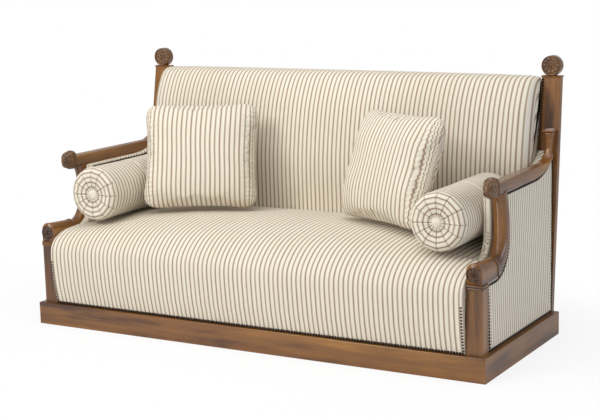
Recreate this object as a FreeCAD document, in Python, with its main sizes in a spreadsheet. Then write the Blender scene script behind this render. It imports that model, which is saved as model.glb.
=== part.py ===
import FreeCAD, Part
import math
import os
import re
import Sketcher

V = FreeCAD.Vector

# Settee with two arms on a plinth: a carved hardwood frame, a sprung seat, a stuffed back,
# two bolsters and two loose pillows. Millimetres, +X to the sitter's left as seen from the
# front, +Y to the back, +Z up. The origin is on the floor under the middle of the settee.
# Depths are measured from the front face of the plinth, and moved to the origin at the end.

SIZES = [
    ("plinth_length", 1960, "plinth, end to end"),
    ("plinth_depth", 724, "plinth, front to back"),
    ("plinth_height", 89, "plinth height"),
    ("plinth_board", 32, "thickness of the plinth boards"),
    ("plinth_round", 3, "rounding of the top outer edge of the plinth"),
    ("origin_from_front", 423.5, "front of the plinth to the origin"),
    ("fit_gap", 0.3, "clearance between a soft piece and its neighbour"),
    ("post_width", 62, "front post, side to side"),
    ("post_depth", 56, "front post, front to back"),
    ("post_inset_side", 19, "plinth end to the outer face of a front post"),
    ("post_inset_front", 19, "plinth front to the front face of a front post"),
    ("post_top", 322, "top of a front post above the floor"),
    ("post_round", 2.5, "rounding of the front post's upright edges"),
    ("bead_height", 9, "height of one of the two beads on a front post"),
    ("bead_overhang", 3, "how far a bead stands out of its post"),
    ("scroll_width", 60, "scroll on a front post, side to side"),
    ("scroll_height", 78, "scroll height at its carved face"),
    ("scroll_neck", 66, "scroll height at its ring"),
    ("scroll_front", 17, "plinth front to the carved face of the scroll"),
    ("bend_depth", 143, "plinth front to the start of the support's lower bend"),
    ("ring_depth", 168, "plinth front to the ring of the scroll"),
    ("ring_bead", 4, "how far the ring stands out of the scroll"),
    ("rosette_radius", 26, "radius of the rosette on a scroll"),
    ("rosette_relief", 5, "height of the rosette's rim and boss"),
    ("support_bend", 140, "radius of the lower bend of an arm support"),
    ("support_lean", 385, "radius of the upper bend of an arm support"),
    ("support_width", 56, "arm support, side to side"),
    ("support_middle", 46, "depth of an arm support where it stands upright"),
    ("support_head", 33, "depth of an arm support under the arm"),
    ("arm_inset", 52, "plinth end to the middle of an arm"),
    ("arm_width", 54, "arm, side to side"),
    ("arm_thick", 41, "arm, top to bottom"),
    ("arm_under", 628, "underside of an arm above the floor"),
    ("arm_start", 190, "plinth front to the front end of an arm"),
    ("arm_edge", 9, "rounding of the upper edges of an arm"),
    ("arm_sweep", 58, "radius of the bend where the arm turns up at the back"),
    ("tail_top", 775, "top of the arm's upturned end above the floor"),
    ("tail_inset", 60, "plinth end to the middle of the arm's upturned end"),
    ("tail_rise", 75, "how far the arm's underside sweeps up to the back post"),
    ("arm_taper", 15, "how much narrower the arm is at the back post"),
    ("tail_depth", 42, "depth of the upturned end at its top"),
    ("neck_width", 22, "narrowest width of the upturned end"),
    ("tail_width", 32, "width of the upturned end at its top"),
    ("capital_width", 42, "capital on the upturned end, side to side"),
    ("capital_height", 10, "capital height"),
    ("knob_length", 58, "carved knob at the front of an arm, front to back"),
    ("knob_height", 76, "carved knob, top to bottom"),
    ("knob_width", 55, "carved knob, side to side"),
    ("back_foot", 693, "plinth front to the face of a back post at its foot"),
    ("back_head", 828, "plinth front to the face of a back post at its head"),
    ("back_top", 976, "top of a back post above the floor"),
    ("back_board", 26, "thickness of a back post"),
    ("back_post_inset", 113, "plinth end to the inner face of a back post"),
    ("back_foot_width", 94, "width of a back post at its foot"),
    ("back_head_width", 75, "width of a back post at its head"),
    ("cap_height", 8, "height of the cap on a back post"),
    ("cap_overhang", 3, "how far the cap stands out of its post"),
    ("finial_radius", 39, "radius of the disc on a back post"),
    ("finial_thick", 34, "thickness of the disc on a back post"),
    ("finial_rise", 37, "middle of the disc above its cap"),
    ("rail_height", 90, "height of the seat rails"),
    ("rail_thick", 30, "thickness of the seat rails"),
    ("rail_lap", 12, "how far the front seat rail laps over the plinth board"),
    ("brace_width", 50, "width of a cross brace under the seat"),
    ("brace_height", 20, "height of a cross brace under the seat"),
    ("webbing_width", 55, "width of a webbing band"),
    ("webbing_thick", 3, "thickness of a webbing band"),
    ("lining_thick", 1.5, "thickness of the cloth under the seat"),
    ("spring_radius", 45, "radius of a seat spring at its ends"),
    ("spring_waist", 28, "radius of a seat spring at its waist"),
    ("pad_under", 290, "underside of the seat's stuffing above the floor"),
    ("seat_edge", 376, "seat height over the front roll"),
    ("seat_crown", 450, "top of the seat's crown above the floor"),
    ("seat_rear", 430, "seat height where it meets the back"),
    ("seat_bulge", 12, "how far the seat swells out past the plinth"),
    ("seat_roll", 62, "plinth front to the end of the front roll"),
    ("seat_depth", 628, "plinth front to the back of the seat's stuffing"),
    ("crown_depth", 350, "plinth front to the highest line of the seat"),
    ("border_foot", 13, "plinth front to the foot of the upholstered front"),
    ("arm_pad_thick", 31, "thickness of the pad inside an arm"),
    ("arm_pad_front", 241, "plinth front to the front end of the pad inside an arm"),
    ("arm_pad_round", 12, "rounding of the pad inside an arm"),
    ("side_thick", 12, "thickness of the covered panel outside an arm"),
    ("side_lean_front", 16, "how far that panel leans in at its front top"),
    ("panel_clear", 0.8, "clearance between the arm's panels and the carved frame"),
    ("side_lean_back", 38, "how far that panel leans in at its back top"),
    ("back_under", 300, "underside of the back's stuffing above the floor"),
    ("back_low_fullness", 140, "how far the back's stuffing stands out, low down"),
    ("back_fullness", 151, "how far the back's stuffing stands out at its middle"),
    ("back_shoulder", 115, "how far the back's stuffing stands out at its shoulder"),
    ("back_crest", 985, "top of the back's roll above the floor"),
    ("back_corner_drop", 34, "how much lower an empty corner of the back's roll would be"),
    ("back_brow", 46, "top of the back's roll to its shoulder"),
    ("top_rail_height", 70, "height of the upper back rail"),
    ("top_rail_top", 962, "top of the upper back rail above the floor"),
    ("low_rail_height", 70, "height of the lower back rail"),
    ("outside_thick", 4, "thickness of the cover on the outside of the back"),
    ("bolster_radius", 111, "radius of a bolster"),
    ("bolster_length", 500, "length of a bolster"),
    ("bolster_front", 92, "plinth front to the front end of a bolster"),
    ("bolster_edge", 24, "rounding of a bolster's rim"),
    ("bolster_dish", 10, "how deep a bolster's end draws in at its button"),
    ("button_radius", 18, "radius of a bolster's button"),
    ("button_thick", 12, "thickness of a bolster's button"),
    ("pillow_width", 470, "pillow, side to side"),
    ("pillow_height", 440, "pillow, bottom to top"),
    ("pillow_thick", 138, "pillow thickness at its middle"),
    ("pillow_side", 46, "pillow thickness at its gathered sides"),
    ("pillow_draw", 14, "how far a pillow's sides draw in between its corners"),
    ("pillow_lean", 20, "degrees that the pillows lean back"),
    ("pillow_turn", 25, "degrees that the pillows turn in from the arms"),
    ("pillow_clear", 2, "clearance between a pillow and the bolster beside it"),
    ("pillow_from_front", 335, "plinth front to the middle of a pillow's foot"),
]

SEAT_BANDS_LONG = 3
SEAT_BANDS_CROSS = 8
ROUND_SIDES = 20
SPRING_SIDES = 6
BOLSTER_SIDES = 32
BOW_STEPS = 4
TOUCH = 1e-5
BACK_BANDS_LONG = 2
BACK_BANDS_CROSS = 8

doc = FreeCAD.newDocument("settee")
sheet = doc.addObject("Spreadsheet::Sheet", "Sizes")
for row, (alias, value, meaning) in enumerate(SIZES, start=1):
    sheet.set("A%d" % row, meaning)
    sheet.set("B%d" % row, str(value))
    sheet.setAlias("B%d" % row, alias)
doc.recompute()

ALIASES = {alias for alias, value, meaning in SIZES}
PIECES = []


def mm(alias):
    """Value of one driving dimension."""
    return float(sheet.get(alias))


def formula(text):
    """The text with each alias made a reference to the sheet."""
    def reference(word):
        return "Sizes." + word.group() if word.group() in ALIASES else word.group()

    return re.sub(r"[a-z_]+", reference, text)


def bind(thing, **formulas):
    """Tie properties of a document object to formulas on the sheet."""
    for name, text in formulas.items():
        thing.setExpression(name.replace("__", "."), formula(text))


def place(thing, x="0", y="0", z="0"):
    """Tie the place of an object, with y measured from the front of the plinth."""
    bind(thing, Placement__Base__x=x, Placement__Base__y=y + " - origin_from_front", Placement__Base__z=z)


def keep(thing, name):
    """Name a finished piece and keep it for export."""
    thing.Label = name
    PIECES.append(thing)
    return thing


def keep_pair(thing, name):
    """Keep a piece of the right-hand end and its mirror image at the left-hand end."""
    keep(thing, name + "_right")
    other = doc.addObject("Part::Mirroring", name + "_mirror")
    other.Source = thing
    other.Normal = V(1, 0, 0)
    other.Base = V(0, 0, 0)
    return keep(other, name + "_left")


def solid_piece(name, shape):
    """A piece whose shape is worked out here, in depths from the front of the plinth."""
    thing = doc.addObject("Part::Feature", name)
    thing.Shape = shape
    to_origin = FreeCAD.Placement(V(0, -mm("origin_from_front"), 0), FreeCAD.Rotation())
    thing.Placement = to_origin.multiply(shape.Placement)
    return thing


def box(name, corner, size):
    """A square-edged board from formulas for its lowest corner and its three sizes."""
    board = doc.addObject("Part::Box", name)
    bind(board, Length=size[0], Width=size[1], Height=size[2])
    place(board, *corner)
    return board


def polygon_sketch(body, name, corners, height="0"):
    """A level sketch through corners given as pairs of formulas, each tied to the origin."""
    sketch = body.newObject("Sketcher::SketchObject", name)
    ground = [f for f in body.Origin.OriginFeatures if f.Role == "XY_Plane"][0]
    sketch.AttachmentSupport = [(ground, "")]
    sketch.MapMode = "FlatFace"
    bind(sketch, AttachmentOffset__Base__z=height)
    start = [V(10.0 * math.cos(k), 10.0 * math.sin(k), 0) for k in range(len(corners))]
    count = len(corners)
    for k in range(count):
        sketch.addGeometry(Part.LineSegment(start[k], start[(k + 1) % count]), False)
    for k in range(count):
        sketch.addConstraint(Sketcher.Constraint("Coincident", k, 2, (k + 1) % count, 1))
    for k, (across, deep) in enumerate(corners):
        for kind, text in (("DistanceX", across), ("DistanceY", deep)):
            index = sketch.addConstraint(Sketcher.Constraint(kind, -1, 1, k, 1, 5.0))
            sketch.setExpression("Constraints[%d]" % index, formula(text))
    return sketch


def pad(body, sketch, name, length):
    """A pad of the sketch, straight up."""
    feature = body.newObject("PartDesign::Pad", name)
    feature.Profile = sketch
    bind(feature, Length=length)
    return feature


def facets(a, b, c, d):
    """The flat faces between four corners: one where they lie in a plane, or else two triangles."""
    corners = [a] + [q for p, q in ((a, b), (b, c), (c, d)) if p.distanceToPoint(q) > TOUCH]
    if corners[-1].distanceToPoint(a) < TOUCH:
        corners.pop()
    if len(corners) < 3:
        return []
    if len(corners) == 4:
        across = (b - a).cross(c - a)
        if abs((d - a).dot(across)) > TOUCH * across.Length:
            return facets(a, b, c, c) + facets(a, c, d, d)
    return [Part.Face(Part.makePolygon(corners + corners[:1]))]


def skin(rings):
    """A body through closed rings of points: facets from ring to ring, and a flat face at each end."""
    faces = [Part.Face(Part.makePolygon(ring + ring[:1])) for ring in (rings[0], rings[-1])]
    for near_ring, far_ring in zip(rings, rings[1:]):
        for k in range(len(near_ring)):
            after = (k + 1) % len(near_ring)
            faces += facets(near_ring[k], near_ring[after], far_ring[after], far_ring[k])
    shell = Part.makeShell(faces)
    shell.sewShape()
    body = Part.makeSolid(shell)
    if body.Volume < 0:
        body.reverse()
    return body


def ring_of(wire, steps):
    """Points round a section: the start of each straight edge, and even steps along each bow."""
    points = []
    for edge in wire.Edges:
        straight = isinstance(edge.Curve, Part.Line)
        points += edge.discretize(Number=2 if straight else steps + 1)[:-1]
    return points


def turned(profile, sides, stretch=1.0):
    """A turned body along the Y axis from pairs of radius and distance, with many flat sides.

    Stretch makes each round an oval that much taller than it is wide."""
    turns = [2 * math.pi * k / sides for k in range(sides)]
    return skin([[V(radius * math.cos(turn), along, radius * stretch * math.sin(turn)) for turn in turns]
                 for radius, along in profile])


def edges_where(shape, test):
    """Names of the edges whose two ends both pass the test."""
    found = []
    for number, edge in enumerate(shape.Edges, start=1):
        if all(test(vertex.Point) for vertex in edge.Vertexes):
            found.append("Edge%d" % number)
    return found


def near(a, b):
    return abs(a - b) < 0.01


# Lines that several pieces share

half_plinth = mm("plinth_length") / 2
post_outer = half_plinth - mm("post_inset_side")
post_inner = post_outer - mm("post_width")
post_rear = mm("post_inset_front") + mm("post_depth")
bead_top = mm("post_top") + 2 * mm("bead_height")
post_middle = (post_outer + post_inner) / 2
arm_middle = half_plinth - mm("arm_inset")
tail_middle = half_plinth - mm("tail_inset")
half_opening = half_plinth - mm("back_post_inset")
gap = mm("fit_gap")
rail_front = mm("plinth_board") - mm("rail_lap")
rake = (mm("back_head") - mm("back_foot")) / (mm("back_top") - mm("plinth_height"))


def back_face(height):
    """Depth of the back posts' front faces at a height."""
    return mm("back_foot") + rake * (height - mm("plinth_height"))


HALF_OPENING = "(plinth_length / 2 - back_post_inset)"
FACE_AT = "back_foot + (back_head - back_foot) / (back_top - plinth_height) * (%s - plinth_height)"


# Plinth: four boards, mitred at the corners


def plinth_board(name, corners, outer_edge):
    body = doc.addObject("PartDesign::Body", name)
    sketch = polygon_sketch(body, name + "_outline", corners)
    block = pad(body, sketch, name + "_block", "plinth_height")
    doc.recompute()
    rounding = body.newObject("PartDesign::Fillet", name + "_round")
    top = mm("plinth_height")
    rounding.Base = (block, edges_where(block.Shape, lambda p: near(p.z, top) and outer_edge(p)))
    bind(rounding, Radius="plinth_round")
    body.Tip = rounding
    place(body)
    return body


OUT, IN = "plinth_length / 2", "plinth_length / 2 - plinth_board"
DEEP, SHALLOW = "plinth_depth", "plinth_depth - plinth_board"
keep(plinth_board("plinth_front",
                  [("-" + OUT, "0"), (OUT, "0"), (IN, "plinth_board"), ("-(" + IN + ")", "plinth_board")],
                  lambda p: near(p.y, 0)), "plinth_front")
keep(plinth_board("plinth_back",
                  [("-" + OUT, DEEP), ("-(" + IN + ")", SHALLOW), (IN, SHALLOW), (OUT, DEEP)],
                  lambda p: near(p.y, mm("plinth_depth"))), "plinth_back")
keep_pair(plinth_board("plinth_side",
                       [(OUT, "0"), (OUT, DEEP), (IN, SHALLOW), (IN, "plinth_board")],
                       lambda p: near(p.x, half_plinth)), "plinth_side")

# Front posts: each stands on the plinth, and its leg runs down inside the plinth's corner

POST_OUT = "plinth_length / 2 - post_inset_side"
POST_IN = POST_OUT + " - post_width"
POST_REAR = "post_inset_front + post_depth"
LEG_OUT = "plinth_length / 2 - plinth_board - fit_gap"
LEG_FRONT = "plinth_board + fit_gap"


def shaft_edges(shape):
    """The two upright edges of the post's shaft on its front face."""
    found = []
    for number, edge in enumerate(shape.Edges, start=1):
        ends = [vertex.Point for vertex in edge.Vertexes]
        rise = abs(ends[0].z - ends[-1].z)
        if near(rise, mm("post_top") - mm("plinth_height")) and near(ends[0].y, mm("post_inset_front")):
            found.append("Edge%d" % number)
    return found


def front_post():
    body = doc.addObject("PartDesign::Body", "front_post")
    leg = polygon_sketch(body, "post_leg_outline",
                         [(POST_IN, LEG_FRONT), (LEG_OUT, LEG_FRONT), (LEG_OUT, POST_REAR), (POST_IN, POST_REAR)])
    pad(body, leg, "post_leg", "post_top")
    shaft = polygon_sketch(body, "post_shaft_outline",
                           [(POST_IN, "post_inset_front"), (POST_OUT, "post_inset_front"),
                            (POST_OUT, POST_REAR), (POST_IN, POST_REAR)], "plinth_height")
    block = pad(body, shaft, "post_shaft", "post_top - plinth_height")
    doc.recompute()
    rounding = body.newObject("PartDesign::Fillet", "post_rounding")
    rounding.Base = (block, shaft_edges(block.Shape))
    bind(rounding, Radius="post_round")
    body.Tip = rounding
    place(body)
    return body


keep_pair(front_post(), "front_post")

# Double bead between each post and its scroll


def bead(name, level):
    slab = box(name + "_slab",
               (POST_IN, "post_inset_front - bead_overhang", level),
               ("post_width + bead_overhang", "post_depth + bead_overhang", "bead_height"))
    doc.recompute()
    rounded = doc.addObject("Part::Chamfer", name)
    rounded.Base = slab
    radius = 0.3 * mm("bead_height")
    level_edges = [n for n, edge in enumerate(slab.Shape.Edges, start=1)
                   if near(edge.Vertexes[0].Point.z, edge.Vertexes[-1].Point.z)]
    rounded.Edges = [(number, radius, radius) for number in level_edges]
    return rounded


beads = doc.addObject("Part::Fuse", "front_bead")
beads.Base = bead("lower_bead", "post_top")
beads.Tool = bead("upper_bead", "post_top + bead_height")
keep_pair(beads, "front_bead")

# Scroll and arm support: one run of sections, flat on the side that faces the covered panel
# and round on the other, carried along a straight and two bends


SCROLL, BEND, LEAN = 0, 1, 2


def run_point(part, share):
    """Point and direction on the flat side of the scroll, of the lower bend or of the leaning top."""
    bend, lean = mm("support_bend"), mm("support_lean")
    start = mm("bend_depth")
    if part == SCROLL:
        return V(0, mm("scroll_front") + share * (start - mm("scroll_front")), bead_top), 0.0
    if part == BEND:
        turn = share * math.pi / 2
        return V(0, start + bend * math.sin(turn), bead_top + bend * (1 - math.cos(turn))), turn
    turn = share * math.asin((mm("arm_under") + 4 - bead_top - bend) / lean)
    upright = V(0, start + bend, bead_top + bend)
    return upright + V(0, -lean * (1 - math.cos(turn)), lean * math.sin(turn)), math.pi / 2 + turn


RING_SHARE = math.asin((mm("ring_depth") - mm("bend_depth")) / mm("support_bend")) / (math.pi / 2)


def run_section(part, share, width, depth, shoulder, corner):
    """Closed section square to the run: a flat foot, upright sides and a round head."""
    foot, turn = run_point(part, share)
    rise = V(0, -math.sin(turn), math.cos(turn))
    half = width / 2

    def at(across, up):
        return foot + V(post_middle + across, 0, 0) + rise * up

    c, s = corner, shoulder
    low, high = depth - s, depth
    bow = low + 0.74 * s
    return Part.Wire([
        Part.LineSegment(at(-half + c, 0), at(half - c, 0)).toShape(),
        Part.LineSegment(at(half - c, 0), at(half, c)).toShape(),
        Part.LineSegment(at(half, c), at(half, low)).toShape(),
        Part.Arc(at(half, low), at(0.74 * half, bow), at(0, high)).toShape(),
        Part.Arc(at(0, high), at(-0.74 * half, bow), at(-half, low)).toShape(),
        Part.LineSegment(at(-half, low), at(-half, c)).toShape(),
        Part.LineSegment(at(-half, c), at(-half + c, 0)).toShape(),
    ])


def rosette(radius, relief):
    """A turned rosette that faces the front: a rim, a sunk field and a boss."""
    rim = 0.16 * radius
    return turned([(radius, 0), (radius, -0.8 * relief), (radius - 0.5 * rim, -relief),
                   (radius - rim, -0.8 * relief), (radius - 1.5 * rim, -0.3 * relief),
                   (0.45 * radius, -0.6 * relief), (0.3 * radius, -0.3 * relief),
                   (0.24 * radius, -relief), (0.1 * radius, -1.2 * relief)], ROUND_SIDES)


def ring(width, depth, stand):
    """The ring bead round the end of the scroll: a rounded slice of a larger section."""
    foot, turn = run_point(BEND, RING_SHARE)
    half = width / 2 + stand
    low, high = 0.5, depth + stand
    wire = Part.Wire([
        Part.LineSegment(V(-half, 0, low), V(half, 0, low)).toShape(),
        Part.LineSegment(V(half, 0, low), V(half, 0, high - half)).toShape(),
        Part.Arc(V(half, 0, high - half), V(0, 0, high), V(-half, 0, high - half)).toShape(),
        Part.LineSegment(V(-half, 0, high - half), V(-half, 0, low)).toShape(),
    ])
    bead_slice = Part.Face(wire).extrude(V(0, -2 * stand, 0))
    rims = [edge for edge in bead_slice.Edges if near(edge.BoundBox.YLength, 0) and edge.BoundBox.ZMax > low + 1]
    bead_slice = bead_slice.makeChamfer(0.6 * stand, rims)
    bead_slice.rotate(V(0, 0, 0), V(1, 0, 0), math.degrees(turn))
    bead_slice.translate(foot + V(post_middle, 0, 0))
    return bead_slice


def scroll():
    width = mm("scroll_width")
    high, low = mm("scroll_height"), mm("scroll_neck")
    sections = [run_section(SCROLL, 0, width, high, width / 2, 3),
                run_section(SCROLL, 0.3, width, high - 4, width / 2, 3),
                run_section(SCROLL, 1, width - 1, low + 3, width / 2 - 1, 4),
                run_section(BEND, RING_SHARE, width - 1, low, width / 2 - 1, 4)]
    trunk = skin([ring_of(section, BOW_STEPS) for section in sections])
    flower = rosette(mm("rosette_radius"), mm("rosette_relief"))
    flower.translate(V(post_middle, mm("scroll_front") + 0.5, bead_top + 0.48 * high))
    whole = trunk.fuse([flower, ring(width - 1, low, mm("ring_bead"))])
    seat_side = Part.makeBox(50, 400, 400, V(post_inner - 50, -50, bead_top - 50))
    beneath = Part.makeBox(400, 400, 50, V(post_middle - 200, -50, bead_top - 50))
    return whole.cut([seat_side, beneath, panel_zone()]).removeSplitter()


SUPPORT_STATIONS = [(BEND, 0.0, "start", "middle", 0.0), (BEND, 0.14, "start", "middle", 0.3),
                    (BEND, 0.28, "start", "middle", 0.5), (BEND, 0.42, "start", "middle", 0.68),
                    (BEND, 0.56, "start", "middle", 0.8), (BEND, 0.7, "start", "middle", 0.9),
                    (BEND, 0.85, "start", "middle", 0.97), (BEND, 1.0, "start", "middle", 1.0),
                    (LEAN, 0.25, "middle", "head", 0.35), (LEAN, 0.5, "middle", "head", 0.65),
                    (LEAN, 0.75, "middle", "head", 0.85), (LEAN, 1.0, "middle", "head", 1.0)]


def arm_support():
    width, middle, head = mm("support_width"), mm("support_middle"), mm("support_head")
    start = mm("scroll_neck") - 3
    sections = []
    for part, share, first, second, mix in SUPPORT_STATIONS:
        depths = {"start": start, "middle": middle, "head": head}
        depth = (1 - mix) * depths[first] + mix * depths[second]
        at = RING_SHARE + share * (1 - RING_SHARE) if part == BEND else share
        sections.append(ring_of(run_section(part, at, width, depth, 0.6 * depth, 3), BOW_STEPS))
    return skin(sections)


def panel_zone():
    """The space behind and under the support that the covered panel may fill."""
    back = Part.Wire([
        Part.LineSegment(V(0, 0, bead_top), run_arc(BEND, 0)[0]).toShape(),
        Part.Arc(*run_arc(BEND, 0)).toShape(),
        Part.Arc(*run_arc(LEAN, 0)).toShape(),
        Part.LineSegment(run_arc(LEAN, 0)[2], V(0, 500, run_arc(LEAN, 0)[2].z)).toShape(),
        Part.LineSegment(V(0, 500, run_arc(LEAN, 0)[2].z), V(0, 500, 0)).toShape(),
        Part.LineSegment(V(0, 500, 0), V(0, 0, 0)).toShape(),
        Part.LineSegment(V(0, 0, 0), V(0, 0, bead_top)).toShape(),
    ])
    zone = Part.Face(back).extrude(V(400, 0, 0))
    zone.translate(V(post_middle - 200, 0, 0))
    return zone


def lean_share(height, offset):
    """Share of the leaning top at which its flat side, moved out by the offset, reaches a height."""
    rise, lean = bead_top + mm("support_bend"), mm("support_lean")
    whole = math.asin((mm("arm_under") + 4 - rise) / lean)
    return math.asin((height - rise) / (lean + offset)) / whole


def run_arc(part, offset, last=1.0):
    """One bend of the support's flat side, moved away from the support."""
    points = []
    for share in (0.0, 0.5 * last, last):
        foot, turn = run_point(part, share)
        points.append(foot - V(0, -math.sin(turn), math.cos(turn)) * offset)
    return points


def trimmed(shape):
    """Cut the support level just under the arm."""
    return shape.cut(Part.makeBox(400, 600, 200, V(arm_middle - 200, 0, mm("arm_under"))))


keep_pair(solid_piece("scroll", scroll()), "scroll")
keep_pair(solid_piece("arm_support", trimmed(arm_support())), "arm_support")

# Arm: a bar that turns up at the back into a tail against the back post


def sweep_up(start, end):
    """An arc that leaves the start level and climbs to the end."""
    run, rise = end.y - start.y, end.z - start.z
    radius = (run * run + rise * rise) / (2 * rise)
    half = math.atan2(rise, run)
    middle = V(start.x, start.y + radius * math.sin(half), start.z + radius * (1 - math.cos(half)))
    return Part.Arc(start, middle, end).toShape()


def turn_upright(start, end):
    """An arc from the start that ends upright."""
    run, rise = end.y - start.y, end.z - start.z
    radius = (run * run + rise * rise) / (2 * run)
    half = math.atan2(run, rise)
    middle = V(start.x, end.y - radius * (1 - math.cos(half)), end.z - radius * math.sin(half))
    return Part.Arc(start, middle, end).toShape()


def underside(clear):
    """The two points between which the arm's underside climbs to the back post."""
    level = mm("arm_under") - clear
    heel = level + mm("tail_rise")
    return V(0, 0.36 * mm("arm_start") + 0.64 * back_face(heel), level), V(0, back_face(heel), heel)


def arm_outline():
    """Side view of the arm, with the bend at the back as arcs."""
    under, thick, sweep = mm("arm_under"), mm("arm_thick"), mm("arm_sweep")
    top = under + thick
    tail = mm("tail_top")
    face_top = back_face(tail)
    tail_front = face_top - mm("tail_depth")
    neck_front = back_face(top + sweep) - 0.8 * mm("tail_depth")
    bend_start = V(0, neck_front - sweep, top)
    half_turn = sweep * math.sin(math.pi / 4)
    bend_middle = V(0, neck_front - sweep + half_turn, top + sweep - half_turn)
    bend_end = V(0, neck_front, top + sweep)
    sole, heel = underside(0)
    front_low = V(0, mm("arm_start"), under)
    front_top = V(0, mm("arm_start"), top)
    return Part.Wire([
        Part.LineSegment(front_low, front_top).toShape(),
        Part.LineSegment(front_top, bend_start).toShape(),
        Part.Arc(bend_start, bend_middle, bend_end).toShape(),
        Part.LineSegment(bend_end, V(0, tail_front, tail)).toShape(),
        Part.LineSegment(V(0, tail_front, tail), V(0, face_top, tail)).toShape(),
        Part.LineSegment(V(0, face_top, tail), heel).toShape(),
        sweep_up(sole, heel),
        Part.LineSegment(sole, front_low).toShape(),
    ])


def arm_elevation():
    """End view of the arm: full width, drawn in to a neck and flared to the capital."""
    inner, outer = arm_middle - mm("arm_width") / 2, arm_middle + mm("arm_width") / 2
    neck, tail = mm("neck_width") / 2, mm("tail_width") / 2
    low, shoulder = mm("arm_under") - 5, mm("arm_under") + mm("arm_thick") + 2
    waist, end = shoulder + 0.75 * mm("arm_sweep"), mm("tail_top")

    def side(way, edge):
        """One side: the shoulder, the bow to the neck and the flare to the top."""
        shoulder_point = V(edge, 0, shoulder)
        neck_point = V(tail_middle + way * neck, 0, waist)
        bow = V(neck_point.x + 0.3 * (edge - neck_point.x), 0, shoulder + 0.42 * (waist - shoulder))
        top_point = V(tail_middle + way * tail, 0, end)
        flare = V(tail_middle + way * (neck + 0.3 * (tail - neck)), 0, 0.5 * (waist + end))
        return shoulder_point, bow, neck_point, flare, top_point

    a, b = side(-1, inner), side(1, outer)
    return Part.Wire([
        Part.LineSegment(V(inner, 0, low), V(outer, 0, low)).toShape(),
        Part.LineSegment(V(outer, 0, low), b[0]).toShape(),
        Part.Arc(b[0], b[1], b[2]).toShape(),
        Part.Arc(b[2], b[3], b[4]).toShape(),
        Part.LineSegment(b[4], a[4]).toShape(),
        Part.Arc(a[4], a[3], a[2]).toShape(),
        Part.Arc(a[2], a[1], a[0]).toShape(),
        Part.LineSegment(a[0], V(inner, 0, low)).toShape(),
    ])


def arm_plan():
    """Top view of the arm: straight inside, drawn in a little on the outside towards the back."""
    inner, outer = arm_middle - mm("arm_width") / 2, arm_middle + mm("arm_width") / 2
    start, end = mm("arm_start"), mm("back_head") + 50
    return Part.makePolygon([V(inner, start - 5, 0), V(outer, start - 5, 0), V(outer - mm("arm_taper"), end, 0),
                             V(inner, end, 0), V(inner, start - 5, 0)])


def arm():
    """The side view, rounded along its upper edges, shared with the end view and the top view."""
    width = mm("arm_width")
    taper = Part.Face(arm_plan()).extrude(V(0, 0, 1000))
    slab = Part.Face(arm_outline()).extrude(V(width, 0, 0))
    slab.translate(V(arm_middle - width / 2, 0, 0))
    bar = slab.common(taper)
    top = mm("arm_under") + mm("arm_thick")
    long_edges = [edge for edge in bar.Edges
                  if edge.BoundBox.ZMin > top - 0.5 and edge.BoundBox.ZMax < mm("tail_top") - 10
                  and edge.BoundBox.YLength > 20]
    rounded = bar.makeChamfer(0.6 * mm("arm_edge"), long_edges)
    view = Part.Face(arm_elevation()).extrude(V(0, mm("back_head") + 100, 0))
    return rounded.common(view)


keep_pair(solid_piece("arm", arm()), "arm")


KNOB_FORM = [(1.0, 0.3), (0.985, 0.5), (0.93, 0.72), (0.8, 0.9), (0.62, 0.99), (0.45, 1.0), (0.28, 0.97),
             (0.17, 0.88), (0.16, 0.98), (0.1, 1.02), (0.03, 1.02), (0.0, 0.96)]


def arm_knob():
    """The carved end: an egg lying front to back, with a collar where the arm starts."""
    length, half = mm("knob_length"), mm("knob_width") / 2
    tall = mm("knob_height") / mm("knob_width")
    egg = [(size * half, -share * length) for share, size in KNOB_FORM]
    shape = turned(egg, ROUND_SIDES, tall)
    shape.translate(V(arm_middle, mm("arm_start"), mm("arm_under") + 0.62 * mm("arm_thick")))
    return shape


keep_pair(solid_piece("arm_knob", arm_knob()), "arm_knob")

# Capital on the upturned end, held clear of the raked post

capital = box("capital",
              ("plinth_length / 2 - tail_inset - capital_width / 2",
               FACE_AT % "tail_top" + " - tail_depth - 6", "tail_top"),
              ("capital_width", "tail_depth + 6", "capital_height"))
doc.recompute()
capital_rounded = doc.addObject("Part::Chamfer", "arm_capital")
capital_rounded.Base = capital
capital_radius = 0.3 * mm("capital_height")
capital_rounded.Edges = [(number, capital_radius, capital_radius)
                         for number, edge in enumerate(capital.Shape.Edges, start=1)
                         if near(edge.Vertexes[0].Point.z, edge.Vertexes[-1].Point.z)]
keep_pair(capital_rounded, "arm_capital")

# Raked boards: an upright wedge turned so that its height is the world's


def raked(name, low, high, wide_low, wide_high, ahead, thick):
    """A board in the plane of the back, from formulas: heights, widths, set-back and thickness."""
    board = doc.addObject("Part::Wedge", name)
    board.Placement = FreeCAD.Placement(V(0, 0, 0), FreeCAD.Rotation(V(1, 0, 0), 90))
    face_low, face_high = FACE_AT % low, FACE_AT % high
    bind(board, Ymin=low, Ymax=high,
         Xmin=wide_low[0], Xmax=wide_low[1], X2min=wide_high[0], X2max=wide_high[1],
         Zmin="-(" + face_low + " + " + ahead + " + " + thick + ")", Zmax="-(" + face_low + " + " + ahead + ")",
         Z2min="-(" + face_high + " + " + ahead + " + " + thick + ")", Z2max="-(" + face_high + " + " + ahead + ")",
         Placement__Base__y="-origin_from_front")
    return board


POST_EDGE = HALF_OPENING
keep_pair(raked("back_post", "plinth_height", "back_top",
                (POST_EDGE, POST_EDGE + " + back_foot_width"), (POST_EDGE, POST_EDGE + " + back_head_width"),
                "0", "back_board"), "back_post")

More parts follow.
